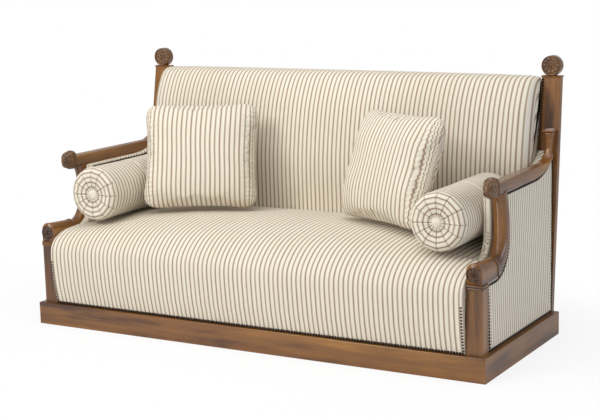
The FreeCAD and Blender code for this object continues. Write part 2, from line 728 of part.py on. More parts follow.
WITHIN = ("-" + HALF_OPENING, HALF_OPENING)
keep(raked("back_top_rail", "(top_rail_top - top_rail_height)", "top_rail_top", WITHIN, WITHIN,
           "0", "(back_board - outside_thick)"), "back_top_rail")
keep(raked("back_low_rail", "back_under", "(back_under + low_rail_height)", WITHIN, WITHIN,
           "0", "(back_board - outside_thick)"), "back_low_rail")
OPEN = ("-" + HALF_OPENING + " + fit_gap", HALF_OPENING + " - fit_gap")
keep(raked("outside_back", "(plinth_height + fit_gap)", "top_rail_top", OPEN, OPEN,
           "(back_board - outside_thick)", "outside_thick"), "outside_back")

# Cap and finial on each back post

cap = box("cap",
          (POST_EDGE + " - cap_overhang", "back_head - cap_overhang", "back_top"),
          ("back_head_width + 2 * cap_overhang", "back_board + 2 * cap_overhang", "cap_height"))
doc.recompute()
cap_rounded = doc.addObject("Part::Chamfer", "post_cap")
cap_rounded.Base = cap
cap_radius = 0.35 * mm("cap_height")
cap_rounded.Edges = [(number, cap_radius, cap_radius) for number, edge in enumerate(cap.Shape.Edges, start=1)
                     if near(edge.Vertexes[0].Point.z, edge.Vertexes[-1].Point.z)]
keep_pair(cap_rounded, "post_cap")


def finial():
    """A thick disc with a rosette on its front, cut flat where it sits on the cap."""
    radius, thick = mm("finial_radius"), mm("finial_thick")
    edge = 0.09 * thick
    disc = turned([(radius - edge, 0), (radius, edge), (radius, thick - edge), (radius - edge, thick)], BOLSTER_SIDES)
    flower = rosette(0.86 * radius, 0.1 * radius)
    flower.translate(V(0, 0.5, 0))
    shape = disc.fuse(flower)
    shape = shape.cut(Part.makeBox(4 * radius, 4 * radius, radius,
                                   V(-2 * radius, -2 * radius, -mm("finial_rise") - radius)))
    shape.translate(V(half_opening + mm("back_head_width") / 2,
                      mm("back_head") + mm("back_board") / 2 - thick / 2,
                      mm("back_top") + mm("cap_height") + mm("finial_rise")))
    return shape.removeSplitter()


keep_pair(solid_piece("finial", finial()), "finial")

# Seat frame on the plinth

keep(box("seat_rail_front",
         ("-(" + POST_IN + ")", "plinth_board - rail_lap", "plinth_height"),
         ("2 * (" + POST_IN + ")", "rail_thick", "rail_height")), "seat_rail_front")
keep(box("seat_rail_back",
         ("-" + HALF_OPENING, "back_foot", "plinth_height"),
         ("2 * " + HALF_OPENING, "back_board - outside_thick", "0.7 * rail_height")), "seat_rail_back")
SIDE_RAIL_IN = HALF_OPENING + " + 3"
keep_pair(box("seat_rail_side",
              (SIDE_RAIL_IN, POST_REAR, "plinth_height"),
              ("2.2 * rail_thick", "back_foot - post_inset_front - post_depth", "rail_height")), "seat_rail_side")
RAIL_REAR = "(plinth_board - rail_lap + rail_thick)"
brace = box("seat_brace",
            (HALF_OPENING + " / 3", RAIL_REAR, "plinth_height"),
            ("brace_width", "back_foot - " + RAIL_REAR, "brace_height"))
keep_pair(brace, "seat_brace")


def band_positions(count, clear, width):
    """Starts of evenly spaced bands across a clear width."""
    step = (clear - width * count) / (count + 1)
    return [step + k * (step + width) for k in range(count)]


def seat_bands():
    """Starts of the bands that run across the settee, in depth, and of those front to back, along it."""
    side, rear = half_opening + 3, rail_front + mm("rail_thick")
    deep = [rear + y for y in band_positions(SEAT_BANDS_LONG, mm("back_foot") - rear, mm("webbing_width"))]
    across = [x - side for x in band_positions(SEAT_BANDS_CROSS, 2 * side, mm("webbing_width"))]
    return deep, across


def seat_webbing():
    """Bands laid flat between the seat rails, over the braces."""
    width, thick = mm("webbing_width"), mm("webbing_thick")
    level = mm("plinth_height") + mm("brace_height")
    side, rear = half_opening + 3, rail_front + mm("rail_thick")
    deep, across = seat_bands()
    bands = [Part.makeBox(2 * side, width, thick, V(-side, y, level)) for y in deep]
    bands += [Part.makeBox(width, mm("back_foot") - rear, thick, V(x, rear, level)) for x in across]
    return bands[0].fuse(bands[1:]).removeSplitter()


keep(solid_piece("seat_webbing", seat_webbing()), "seat_webbing")


def seat_springs():
    """Waisted springs in rows, as plain bodies of their outer shape."""
    wide, waist = mm("spring_radius"), mm("spring_waist")
    low = mm("plinth_height") + mm("brace_height") + mm("webbing_thick")
    tall = mm("pad_under") - low
    spring = turned([(wide, 0), (0.5 * (wide + waist), -0.22 * tall), (waist, -0.5 * tall),
                     (0.5 * (wide + waist), -0.78 * tall), (wide, -tall)], SPRING_SIDES)
    spring.rotate(V(0, 0, 0), V(1, 0, 0), -90)
    long_bands, cross_bands = seat_bands()
    springs = []
    for y in long_bands:
        for x in cross_bands:
            copy = spring.copy()
            copy.translate(V(x + mm("webbing_width") / 2, y + mm("webbing_width") / 2, low))
            springs.append(copy)
    return Part.makeCompound(springs)


keep(solid_piece("seat_springs", seat_springs()), "seat_springs")

keep(box("under_lining",
         ("-(" + POST_IN + ") + 1", LEG_FRONT, "plinth_height - lining_thick"),
         ("2 * (" + POST_IN + ") - 2", "plinth_depth - 2 * plinth_board - 2 * fit_gap", "lining_thick")),
     "under_lining")

# Webbing in the back, between the two back rails


def back_webbing():
    width, thick = mm("webbing_width"), mm("webbing_thick")
    low = mm("back_under") + mm("low_rail_height")
    high = mm("top_rail_top") - mm("top_rail_height")
    lean = math.atan(rake)
    tall = (high - low) / math.cos(lean)
    bands = [Part.makeBox(width, thick, tall, V(-half_opening + x, 0, 0))
             for x in band_positions(BACK_BANDS_CROSS, 2 * half_opening, width)]
    bands += [Part.makeBox(2 * half_opening, thick, width, V(-half_opening, 0, z))
              for z in band_positions(BACK_BANDS_LONG, tall, width)]
    net = bands[0].fuse(bands[1:]).removeSplitter()
    net.rotate(V(0, 0, 0), V(1, 0, 0), -math.degrees(lean))
    net.translate(V(0, back_face(low) + 3, low))
    level = Part.makeBox(4 * half_opening, 1000, high - low - 0.02, V(-2 * half_opening, 0, low + 0.01))
    return net.common(level)


keep(solid_piece("back_webbing", back_webbing()), "back_webbing")

# Upholstered seat: a covered front and a crowned pad


def seat_border():
    """Front of the seat: a swelling slab nailed on to the plinth and the posts."""
    low, high = mm("plinth_height") + 1, mm("pad_under") - gap
    rear = rail_front - gap
    foot, swell = mm("border_foot"), -mm("seat_bulge")
    half = post_inner - gap
    middle = 0.5 * (low + high)
    belly = V(-half, 0.3 * foot + 0.7 * swell + 2, middle)
    wire = Part.Wire([
        Part.Arc(V(-half, foot, low), belly, V(-half, swell + 1, high)).toShape(),
        Part.LineSegment(V(-half, swell + 1, high), V(-half, rear, high)).toShape(),
        Part.LineSegment(V(-half, rear, high), V(-half, rear, low)).toShape(),
        Part.LineSegment(V(-half, rear, low), V(-half, foot, low)).toShape(),
    ])
    return Part.Face(wire).extrude(V(2 * half, 0, 0))


keep(solid_piece("seat_border", seat_border()), "seat_border")


def seat_section(x, fill):
    """Side view of the seat pad at one place across the settee, with its crown scaled by fill."""
    base, edge = mm("pad_under"), mm("seat_edge")
    crest = edge + fill * (mm("seat_crown") - edge)
    rear = edge + fill * (mm("seat_rear") - edge)
    roll_top = edge + fill * 22
    swell = -mm("seat_bulge")
    roll, deep, back = mm("seat_roll"), mm("crown_depth"), mm("seat_depth")
    front_low, front_high = V(x, swell + 1, base), V(x, swell + 1, base + 0.2 * (edge - base))
    shoulder = V(x, 0.13 * roll, edge - 22 + 3 * fill)
    rise = V(x, 0.42 * deep + 0.58 * roll, roll_top + 0.70 * (crest - roll_top))
    fall = V(x, 0.5 * (deep + back), crest - 0.22 * (crest - rear))
    return Part.Wire([
        Part.LineSegment(front_low, front_high).toShape(),
        Part.Arc(front_high, shoulder, V(x, roll, roll_top)).toShape(),
        Part.Arc(V(x, roll, roll_top), rise, V(x, deep, crest)).toShape(),
        Part.Arc(V(x, deep, crest), fall, V(x, back, rear)).toShape(),
        Part.LineSegment(V(x, back, rear), V(x, back, base)).toShape(),
        Part.LineSegment(V(x, back, base), front_low).toShape(),
    ])


SEAT_FILLS = [(1.0, 0.22), (0.965, 0.36), (0.89, 0.52), (0.72, 0.80), (0.5, 0.94), (0.0, 1.0)]


def seat_pad():
    """Crowned seat: sections across the settee, then the sides set in behind the posts."""
    half = post_inner - gap
    stations = [(-share * half, fill) for share, fill in SEAT_FILLS]
    stations += [(share * half, fill) for share, fill in reversed(SEAT_FILLS[:-1])]
    shape = skin([ring_of(seat_section(x, fill), BOW_STEPS) for x, fill in stations])
    inner = half_opening - gap
    for side in (-1, 1):
        notch = Part.makeBox(200, 1000, 400, V(inner if side > 0 else -inner - 200, mm("ring_depth") + 12, 200))
        shape = shape.cut(notch)
    return shape


seat = solid_piece("seat_pad", seat_pad())
keep(seat, "seat_pad")

# Upholstered back: thick, steep-sided and rolled over the top rail


def back_section(x, fill):
    """Side view of the back pad at one place across the settee."""
    low = mm("back_under")
    rail_top = mm("top_rail_top") + gap
    seat_rear, top_height = mm("seat_rear"), mm("back_crest")
    crest = top_height - (1 - fill) * mm("back_corner_drop")
    foot = mm("seat_depth") + gap
    lower = V(x, foot, seat_rear + 10)

    def swell(height, stand):
        return V(x, back_face(height) - fill * stand, height)

    full = swell(seat_rear + 0.24 * (top_height - seat_rear), mm("back_low_fullness"))
    chest = swell(seat_rear + 0.58 * (top_height - seat_rear), mm("back_fullness"))
    brow = swell(crest - mm("back_brow"), mm("back_shoulder"))
    roll = swell(crest - 9, 0.72 * mm("back_shoulder"))
    top = swell(crest, 0.25 * mm("back_shoulder"))
    tuck = V(x, 0.55 * foot + 0.45 * full.y, 0.5 * (lower.z + full.z) - 8)
    nape = V(x, back_face(crest) + 0.75 * mm("back_board"), crest - 5)
    rear_top = V(x, back_face(rail_top) + mm("back_board"), rail_top)
    rail_corner = V(x, back_face(rail_top) - gap, rail_top)
    rear_low = V(x, back_face(low) - gap, low)
    return Part.Wire([
        Part.LineSegment(rear_low, V(x, foot, low)).toShape(),
        Part.LineSegment(V(x, foot, low), lower).toShape(),
        Part.Arc(lower, tuck, full).toShape(),
        Part.Arc(full, chest, brow).toShape(),
        Part.Arc(brow, roll, top).toShape(),
        Part.Arc(top, nape, rear_top).toShape(),
        Part.LineSegment(rear_top, rail_corner).toShape(),
        Part.LineSegment(rail_corner, rear_low).toShape(),
    ])


BACK_FILLS = [(1.0, 0.58), (0.985, 0.78), (0.95, 0.90), (0.82, 0.96), (0.5, 0.985), (0.0, 1.0)]


def back_pad():
    half = half_opening - gap
    stations = [(-share * half, fill) for share, fill in BACK_FILLS]
    stations += [(share * half, fill) for share, fill in reversed(BACK_FILLS[:-1])]
    return skin([ring_of(back_section(x, fill), BOW_STEPS) for x, fill in stations])


back = solid_piece("back_pad", back_pad())
keep(back, "back_pad")

# Inside of the arm: a pad between the seat, the support and the back post


def arm_pad():
    """A slab with its front edge carried up beside the support, rounded where it is seen."""
    clear = mm("panel_clear")
    fore = mm("arm_pad_front")
    start = mm("ring_depth") + 12 + gap
    low = mm("plinth_height") + mm("rail_height") + gap
    sole, heel = underside(clear)
    heel.y -= gap
    bend_low, bend_top = mm("seat_edge") + 14, bead_top + mm("support_bend")
    outline = Part.Wire([
        Part.LineSegment(V(0, start, low), V(0, start, bend_low)).toShape(),
        turn_upright(V(0, start, bend_low), V(0, fore, bend_top)),
        Part.LineSegment(V(0, fore, bend_top), V(0, fore, sole.z)).toShape(),
        Part.LineSegment(V(0, fore, sole.z), sole).toShape(),
        sweep_up(sole, heel),
        Part.LineSegment(heel, V(0, back_face(low) - gap, low)).toShape(),
        Part.LineSegment(V(0, back_face(low) - gap, low), V(0, start, low)).toShape(),
    ])
    slab = Part.Face(outline).extrude(V(mm("arm_pad_thick") - gap, 0, 0))
    seen_edges = [edge for edge in slab.Edges
                  if near(edge.BoundBox.XLength, 0) and near(edge.BoundBox.XMin, 0)
                  and edge.BoundBox.YMax < fore + 0.5 and edge.BoundBox.ZMin > bend_low - 0.5]
    slab = slab.makeChamfer(0.6 * mm("arm_pad_round"), seen_edges)
    slab.translate(V(post_inner - mm("arm_pad_thick"), 0, 0))
    return slab


keep_pair(solid_piece("arm_pad", arm_pad()), "arm_pad")

# Outside of the arm: a thin covered panel that follows the support's flat side


def side_outline(low):
    """Side view of the panel: post, support, underside of the arm, back post, and a level foot."""
    clear = mm("panel_clear")
    sole, heel = underside(clear)
    heel.y -= clear
    edge = post_rear + gap
    bend, lean = run_arc(BEND, clear), run_arc(LEAN, clear, lean_share(sole.z, clear))
    return Part.Wire([
        Part.LineSegment(V(0, edge, low), V(0, edge, bend[0].z)).toShape(),
        Part.LineSegment(V(0, edge, bend[0].z), bend[0]).toShape(),
        Part.Arc(*bend).toShape(),
        Part.Arc(*lean).toShape(),
        Part.LineSegment(lean[2], sole).toShape(),
        sweep_up(sole, heel),
        Part.LineSegment(heel, V(0, back_face(low) - clear, low)).toShape(),
        Part.LineSegment(V(0, back_face(low) - clear, low), V(0, edge, low)).toShape(),
    ])


def leaning_slab(foot, inside, outside):
    """The outline's slab, shared with a block between two faces that lean in towards the back."""
    outer = post_outer - mm("bead_overhang")
    low, high = mm("plinth_height"), mm("arm_under") + mm("tail_rise") + 20
    slab = Part.Face(side_outline(foot)).extrude(V(300, 0, 0))
    slab.translate(V(outer - 200, 0, 0))

    def quad(y, lean):
        return Part.makePolygon([V(inside(0), y, low), V(outside(0), y, low), V(outside(lean), y, high),
                                 V(inside(lean), y, high), V(inside(0), y, low)])

    block = Part.makeLoft([quad(post_rear - 20, mm("side_lean_front")),
                           quad(mm("back_head") + 20, mm("side_lean_back"))], True, True)
    return slab.common(block)


def side_panel():
    """A thin covered sheet."""
    outer = post_outer - mm("bead_overhang")
    return leaning_slab(mm("plinth_height") + 1,
                        lambda lean: outer - lean - mm("side_thick"), lambda lean: outer - lean)


def arm_board():
    """The board inside the arm that both coverings are fixed to, thinner towards the top."""
    outer = post_outer - mm("bead_overhang") - mm("side_thick")
    return leaning_slab(mm("plinth_height") + mm("rail_height"),
                        lambda lean: post_inner, lambda lean: outer - lean - gap)


keep_pair(solid_piece("arm_board", arm_board()), "arm_board")
keep_pair(solid_piece("side_panel", side_panel()), "side_panel")

# Bolsters with a button at each end


def bolster(name, side):
    radius, length, edge = mm("bolster_radius"), mm("bolster_length"), mm("bolster_edge")
    dish = mm("bolster_dish")
    flat = radius - edge
    half = [(0.12 * flat, dish), (0.3 * flat, 0.75 * dish), (0.55 * flat, 0.3 * dish), (0.8 * flat, 0.06 * dish),
            (flat, 0.0)]
    half += [(flat + edge * math.sin(turn), edge - edge * math.cos(turn))
             for turn in (math.radians(degrees) for degrees in (30, 60, 90))]
    shape = turned(half + [(at, length - along) for at, along in reversed(half)], BOLSTER_SIDES)
    across = side * (half_opening - radius)
    lie = V(across, mm("bolster_front"), mm("seat_crown") + radius)
    shape.translate(lie)
    drop = V(0, 0, -1) * approach(shape, V(0, 0, -1), gap, seat_shape)
    shape.translate(drop)
    keep(solid_piece(name, shape), name)
    front_button = button(dish)
    front_button.translate(lie + drop)
    back_button = button(dish).mirror(V(0, 0, 0), V(0, 1, 0))
    back_button.translate(lie + drop + V(0, length, 0))
    pair = Part.makeCompound([front_button, back_button])
    keep(solid_piece(name + "_buttons", pair), name.replace("bolster", "bolster_buttons"))
    return shape


def button(dish):
    """A domed button that faces the front, with its flat back on the bottom of the dish."""
    radius, thick = mm("button_radius"), mm("button_thick")
    rear = dish - gap
    return turned([(0.12 * radius, rear), (radius, rear - 0.35 * thick), (0.94 * radius, rear - 0.6 * thick),
                   (0.7 * radius, rear - 0.85 * thick), (0.2 * radius, rear - thick)], ROUND_SIDES)


def approach(shape, direction, clearance, *neighbours):
    """How far a loose piece can move in a direction before it is a clearance away from a neighbour."""
    moved = 0.0
    probe = shape.copy()
    for attempt in range(30):
        step = min(probe.distToShape(neighbour)[0] for neighbour in neighbours) - clearance
        if step < 0.02:
            break
        probe.translate(direction * step)
        moved += step
    return moved


seat_shape = seat_pad()
bolsters = {side: bolster(name, side) for side, name in ((1, "bolster_right"), (-1, "bolster_left"))}

# Pillows that lean against the corners


def pillow_section(level, width, thick, side_thick):
    """A lens across the pillow: two bows and two narrow sides."""
    half = width / 2
    return Part.Wire([
        Part.Arc(V(-half, -side_thick / 2, level), V(0, -thick / 2, level), V(half, -side_thick / 2, level)).toShape(),
        Part.LineSegment(V(half, -side_thick / 2, level), V(half, side_thick / 2, level)).toShape(),
        Part.Arc(V(half, side_thick / 2, level), V(0, thick / 2, level), V(-half, side_thick / 2, level)).toShape(),
        Part.LineSegment(V(-half, side_thick / 2, level), V(-half, -side_thick / 2, level)).toShape(),
    ])


PILLOW_FORM = [(0.0, 0.90, 0.20, 0.40), (0.03, 0.955, 0.42, 0.7), (0.10, 0.99, 0.68, 0.95), (0.26, 0.98, 0.90, 1.0),
               (0.5, 0.965, 1.0, 1.0)]


def pillow_form():
    """Sections from foot to head: rounded at both, drawn in between the corners."""
    width, height, thick, side_thick = mm("pillow_width"), mm("pillow_height"), mm("pillow_thick"), mm("pillow_side")
    draw = mm("pillow_draw") / (0.035 * width)
    steps = PILLOW_FORM + [(1 - level, wide, full, side) for level, wide, full, side in reversed(PILLOW_FORM[:-1])]
    sections = []
    for level, wide, full, side in steps:
        drawn = 1 - (1 - wide) * (draw if 0.1 < level < 0.9 else 1)
        section = pillow_section(level * height, drawn * width, full * thick, side * side_thick)
        sections.append(ring_of(section, 2 * BOW_STEPS))
    return skin(sections)


def pillow(name, side):
    """Leaned back and turned in, let down on the seat and moved out to the bolster."""
    shape = pillow_form()
    shape.rotate(V(0, 0, 0), V(1, 0, 0), -mm("pillow_lean"))
    shape.rotate(V(0, 0, 0), V(0, 0, 1), -side * mm("pillow_turn"))
    start = half_opening - 2 * mm("bolster_radius") - mm("pillow_width")
    shape.translate(V(side * start, mm("pillow_from_front"), mm("seat_crown") + mm("pillow_thick") / 2))
    down, out = V(0, 0, -1), V(side, 0, 0)
    shape.translate(down * approach(shape, down, gap, seat_shape))
    shape.translate(out * approach(shape, out, mm("pillow_clear"), bolsters[side]))
    shape.translate(V(0, 0, mm("pillow_clear")))
    shape.translate(down * approach(shape, down, gap, seat_shape))
    keep(solid_piece(name, shape), name)


for side, end_name in ((1, "right"), (-1, "left")):
    pillow("pillow_" + end_name, side)

# Check every object, then write one file for each piece

doc.recompute()
for thing in doc.Objects:
    if "Invalid" in thing.State or "Error" in thing.State:
        raise RuntimeError("%s did not compute: %s" % (thing.Name, thing.State))
os.makedirs("parts", exist_ok=True)
names = [thing.Label for thing in PIECES]
if len(set(names)) != len(names):
    raise RuntimeError("two pieces share a name")
for thing in PIECES:
    if thing.Shape.isNull() or not thing.Shape.isValid() or thing.Shape.Volume <= 0:
        raise RuntimeError(thing.Label + " has no valid shape")
for thing in PIECES:
    thing.Shape.exportStep("parts/" + thing.Label + ".step")
print("%d pieces written" % len(PIECES))
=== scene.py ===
import math
import bpy
import numpy as np
from mathutils import Matrix, Vector


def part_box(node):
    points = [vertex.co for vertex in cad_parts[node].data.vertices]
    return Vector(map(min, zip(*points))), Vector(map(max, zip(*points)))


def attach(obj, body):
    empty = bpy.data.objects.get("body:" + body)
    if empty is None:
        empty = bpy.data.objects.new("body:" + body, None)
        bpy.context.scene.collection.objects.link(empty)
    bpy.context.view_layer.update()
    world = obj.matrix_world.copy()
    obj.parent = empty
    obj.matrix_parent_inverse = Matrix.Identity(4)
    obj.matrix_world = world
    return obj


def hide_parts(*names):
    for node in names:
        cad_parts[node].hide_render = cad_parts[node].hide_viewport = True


# A carved mahogany settee in striped cotton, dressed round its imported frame. Metres, +Z up.
# Depths in the tables below are millimetres from the front face of the plinth.

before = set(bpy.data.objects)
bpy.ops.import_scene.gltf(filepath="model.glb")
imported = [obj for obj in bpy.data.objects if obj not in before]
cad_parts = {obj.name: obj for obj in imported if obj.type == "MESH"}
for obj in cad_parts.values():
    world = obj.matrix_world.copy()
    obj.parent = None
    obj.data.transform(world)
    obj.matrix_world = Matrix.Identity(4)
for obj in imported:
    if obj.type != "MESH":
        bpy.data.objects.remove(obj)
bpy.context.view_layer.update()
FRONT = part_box("plinth_front")[0][1]
RIGHT, LEFT = 1, -1
SIDE_NAMES = {RIGHT: "right", LEFT: "left"}

# Lines of the frame, in millimetres: widths from the middle, depths and heights

HALF_OPENING = 867.0
PLINTH_TOP = 89.0
BEAD_LOW, BEAD_TOP = 322.0, 340.0
POST_IN, POST_OUT, POST_FRONT, POST_BACK = 899.0, 961.0, 19.0, 75.0
POST_MIDDLE = 930.0
BEND_START, BEND, LEAN = 143.0, 140.0, 385.0
SCROLL_START, RING_AT = 17.0, 168.0
ARM_UNDER, ARM_TOP = 628.0, 669.0
ARM_MIDDLE, TAIL_MIDDLE = 928.0, 920.0
ARM_START, SOLE_AT, HEEL = 190.0, 571.7, 703.0
TAIL_TOP = 775.0
CAP_TOP = 984.0
SEAT_HALF = 898.4
PANEL_STUFFING = 4.0


def face_at(z):
    """Depth of the back posts' raked front faces at a height."""
    foot, rake, height = 693.0, 135.0, 887.0
    return foot + rake * (z - PLINTH_TOP) / height


def metres(x, y, z):
    """Points from millimetres, depth from the plinth's front, to metres in the frame."""
    x, y, z = np.broadcast_arrays(x, y, z)
    return np.stack([x / 1000.0, y / 1000.0 + FRONT, z / 1000.0], axis=-1)


def ease(a, b, t):
    """0 below a, 1 above b, with a smooth step between."""
    s = np.clip((np.asarray(t, float) - a) / (b - a), 0.0, 1.0)
    return s * s * (3.0 - 2.0 * s)


def through(points, count):
    """A smooth line through points: a Catmull-Rom curve, read at even steps along its length."""
    p = np.asarray(points, float)
    q = np.concatenate([2 * p[:1] - p[1:2], p, 2 * p[-1:] - p[-2:-1]])
    spans = len(q) - 3
    t = np.linspace(0.0, 1.0, 24, endpoint=False)[:, None]
    a, b, c, d = (q[k:k + spans][:, None, :] for k in range(4))
    u = t[None]
    line = 0.5 * (2 * b + (c - a) * u + (2 * a - 5 * b + 4 * c - d) * u ** 2
                  + (3 * b - a - 3 * c + d) * u ** 3)
    line = np.concatenate([line.reshape(-1, p.shape[1]), q[spans + 1:spans + 2]])
    return evenly(line, count)


def evenly(line, count):
    """A broken line read again at even steps along its length."""
    line = np.asarray(line, float)
    steps = np.linalg.norm(np.diff(line, axis=0), axis=1)
    run = np.concatenate([[0.0], np.cumsum(steps)])
    at = np.linspace(0.0, run[-1], count)
    return np.stack([np.interp(at, run, line[:, k]) for k in range(line.shape[1])], axis=-1)


def arc(centre, radius, start, end, count):
    """Points of an arc in depth and height, with angles in degrees from +Y."""
    turn = np.radians(np.linspace(start, end, count))
    return np.stack([centre[0] + radius * np.cos(turn), centre[1] + radius * np.sin(turn)], axis=-1)


def whole_turn(count):
    """Even angles round a full turn."""
    return np.linspace(0, 2 * math.pi, count, endpoint=False)


def corners(node):
    """The two corners of a node's box."""
    return [np.array(corner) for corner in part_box(node)]


# Meshes


def set_values(mesh, name, values):
    """Keep a number at each point of a mesh."""
    mesh.attributes.new(name, "FLOAT", "POINT").data.foreach_set("value", np.asarray(values, np.float32).ravel())


def build(name, points, faces, attribute=None):
    """A smooth-shaded object from arrays, its faces turned to point outwards by its signed volume."""
    points = np.asarray(points, float).reshape(-1, 3)
    triangles = np.concatenate([faces[:, [0, 1, 2]], faces[:, [0, 2, 3]]]) if faces.shape[1] == 4 else faces
    a, b, c = (points[triangles[:, k]] for k in range(3))
    if np.einsum("ij,ij->i", a, np.cross(b, c)).sum() < 0:
        faces = faces[:, ::-1]
    mesh = bpy.data.meshes.new(name)
    loops = [[i for n, i in enumerate(face) if i != face[n - 1]] for face in faces.tolist()]
    mesh.from_pydata(points.tolist(), [], loops)
    mesh.polygons.foreach_set("use_smooth", np.ones(len(mesh.polygons), bool))
    if attribute is not None:
        set_values(mesh, "cloth", attribute)
    mesh.update()
    piece = bpy.data.objects.new(name, mesh)
    bpy.context.scene.collection.objects.link(piece)
    return piece


def quads(rows, columns, first=0):
    """Faces of a grid of rows whose columns close on themselves."""
    r, c = np.meshgrid(np.arange(rows - 1), np.arange(columns), indexing="ij")
    low, high, after = r * columns, (r + 1) * columns, (c + 1) % columns
    return np.stack([low + c, low + after, high + after, high + c], axis=-1).reshape(-1, 4) + first


def dome_faces(rows, columns, first=0):
    """Sides of a dome, and its two small end rings closed by strips between opposite points."""
    strip = np.arange(columns // 2 - 1)
    ends = [np.stack([base + strip, base + strip + 1, base + columns - 2 - strip, base + columns - 1 - strip], -1)
            for base in (0, (rows - 1) * columns)]
    return np.concatenate([quads(rows, columns)] + ends) + first


def closed_run(name, rings, poles=None, attribute=None, pole_values=None):
    """A closed body: rings joined in turn, with a fan from each end ring to a pole."""
    rings = np.asarray(rings, float)
    rows, columns = rings.shape[:2]
    if poles is None:
        poles = (rings[0].mean(0), rings[-1].mean(0))
    points = np.concatenate([rings.reshape(-1, 3), np.array(poles).reshape(2, 3)])
    c = np.arange(columns)
    after = (c + 1) % columns
    pole, last = np.full(columns, rows * columns), (rows - 1) * columns
    fans = [np.stack([pole, after, c, pole], -1), np.stack([pole + 1, last + c, last + after, pole + 1], -1)]
    faces = np.concatenate([quads(rows, columns)] + fans)
    if attribute is not None:
        if pole_values is None:
            pole_values = (attribute[0].mean(), attribute[-1].mean())
        attribute = np.concatenate([attribute.ravel(), pole_values])
    return build(name, points, faces, attribute)


def rounded_outline(half, tall, crown_x, crown_y, corner, count):
    """Sections of a bar: width from -half to half, height from 0 to tall, elliptic corners on top."""
    sizes = np.broadcast_arrays(half, tall, crown_x, crown_y, corner)
    half, tall, rx, ry, rc = (np.asarray(size, float)[:, None] for size in sizes)
    a = np.linspace(0.0, math.pi / 2, count)[None]
    c, s = 1 - np.cos(a), 1 - np.sin(a)
    across = [half - rx * c, rx * s - half, rc * c - half, half - rc * s]
    upward = [tall - ry * s, tall - ry * c, rc * s, rc * c]
    return np.concatenate(across, 1), np.concatenate(upward, 1)


def bar(name, lower, upper, half, middle, crown_x, crown_y, corner, side, relief=None):
    """A bar between a lower and an upper line, each point a depth and a height, mirrored by side.

    Relief gives the height of the carving on its round head from the angle about its middle."""
    lower, upper = np.asarray(lower, float), np.asarray(upper, float)
    tall = np.linalg.norm(upper - lower, axis=1)
    across, upward = rounded_outline(half, tall, crown_x, crown_y, corner, 9 if relief is None else 33)
    if relief is not None:
        heart = (tall - crown_y)[:, None]
        angle = np.arctan2(upward - heart, across)
        raised = relief(angle) * (upward > heart + 0.5)
        across, upward = across + raised * np.cos(angle), upward + raised * np.sin(angle)
    share = upward / tall[:, None]
    y = lower[:, :1] + (upper - lower)[:, :1] * share
    z = lower[:, 1:] + (upper - lower)[:, 1:] * share
    x = side * (np.broadcast_to(middle, len(tall))[:, None] + across)
    return closed_run(name, metres(x, y, z))


# Materials


class Flow:
    """A number in a material: arithmetic on it adds Math nodes."""

    def __init__(self, tree, socket):
        self.tree, self.socket = tree, socket

    def math(self, operation, *values):
        made = self.tree.nodes.new("ShaderNodeMath")
        made.operation = operation
        for socket, value in zip(made.inputs, values):
            if isinstance(value, Flow):
                self.tree.links.new(value.socket, socket)
            else:
                socket.default_value = value
        return Flow(self.tree, made.outputs[0])

    def __add__(self, other):
        return self.math("ADD", self, other)

    def __sub__(self, other):
        return self.math("SUBTRACT", self, other)

    def __rsub__(self, other):
        return self.math("SUBTRACT", other, self)

    def __mul__(self, other):
        return self.math("MULTIPLY", self, other)

    def __truediv__(self, other):
        return self.math("DIVIDE", self, other)

    __radd__ = __add__
    __rmul__ = __mul__

    def fraction(self):
        """What is left over from whole numbers."""
        return self.math("FRACT", self)

    def absolute(self):
        return self.math("ABSOLUTE", self)

    def step(self, low, high):
        """A smooth step from 0 at low to 1 at high."""
        made = self.tree.nodes.new("ShaderNodeMapRange")
        made.interpolation_type = "SMOOTHSTEP"
        self.tree.links.new(self.socket, made.inputs["Value"])
        made.inputs["From Min"].default_value = low
        made.inputs["From Max"].default_value = high
        return Flow(self.tree, made.outputs["Result"])


class Finish:
    """A material with one Principled shader, and the nodes that feed it."""

    def __init__(self, name, **constants):
        self.material = bpy.data.materials.new(name)
        self.material.use_nodes = True
        self.tree = self.material.node_tree
        self.shader = self.tree.nodes["Principled BSDF"]
        for key, value in constants.items():
            self.shader.inputs[key.replace("_", " ")].default_value = value

    def node(self, kind, settings=None, output=0, **inputs):
        """Any other node: its settings first, then values or links for its sockets."""
        made = self.tree.nodes.new("ShaderNode" + kind)
        for key, value in (settings or {}).items():
            setattr(made, key, value)
        for key, value in inputs.items():
            socket = made.inputs[int(key[1:])] if key[0] == "_" else made.inputs[key.replace("_", " ")]
            if isinstance(value, Flow):
                self.tree.links.new(value.socket, socket)
            else:
                socket.default_value = value
        return Flow(self.tree, made.outputs[output])

    def place(self):
        """Object coordinates."""
        return self.node("TexCoord", output=3)

    def kept(self, name):
        """The numbers kept at the points of the mesh."""
        return self.node("Attribute", {"attribute_name": name}, output=2)

    def along(self, vector, axis):
        """How far a place lies along a direction."""
        return self.node("VectorMath", {"operation": "DOT_PRODUCT"}, output=1, _0=vector, _1=axis)

    def scaled(self, vector, factors):
        return self.node("VectorMath", {"operation": "MULTIPLY"}, _0=vector, _1=factors)

    def noise(self, vector, scale, detail=3.0, rough=0.5):
        return self.node("TexNoise", Vector=vector, Scale=scale, Detail=detail, Roughness=rough)

    def blend(self, share, a, b):
        """A colour between two others."""
        return self.node("Mix", {"data_type": "RGBA"}, output=2, _0=share, _6=a, _7=b)

    def feed(self, **sockets):
        for key, value in sockets.items():
            self.tree.links.new(value.socket, self.shader.inputs[key.replace("_", " ")])

    def bump(self, height, strength, distance):
        self.feed(Normal=self.node("Bump", Height=height, Strength=strength, Distance=distance))


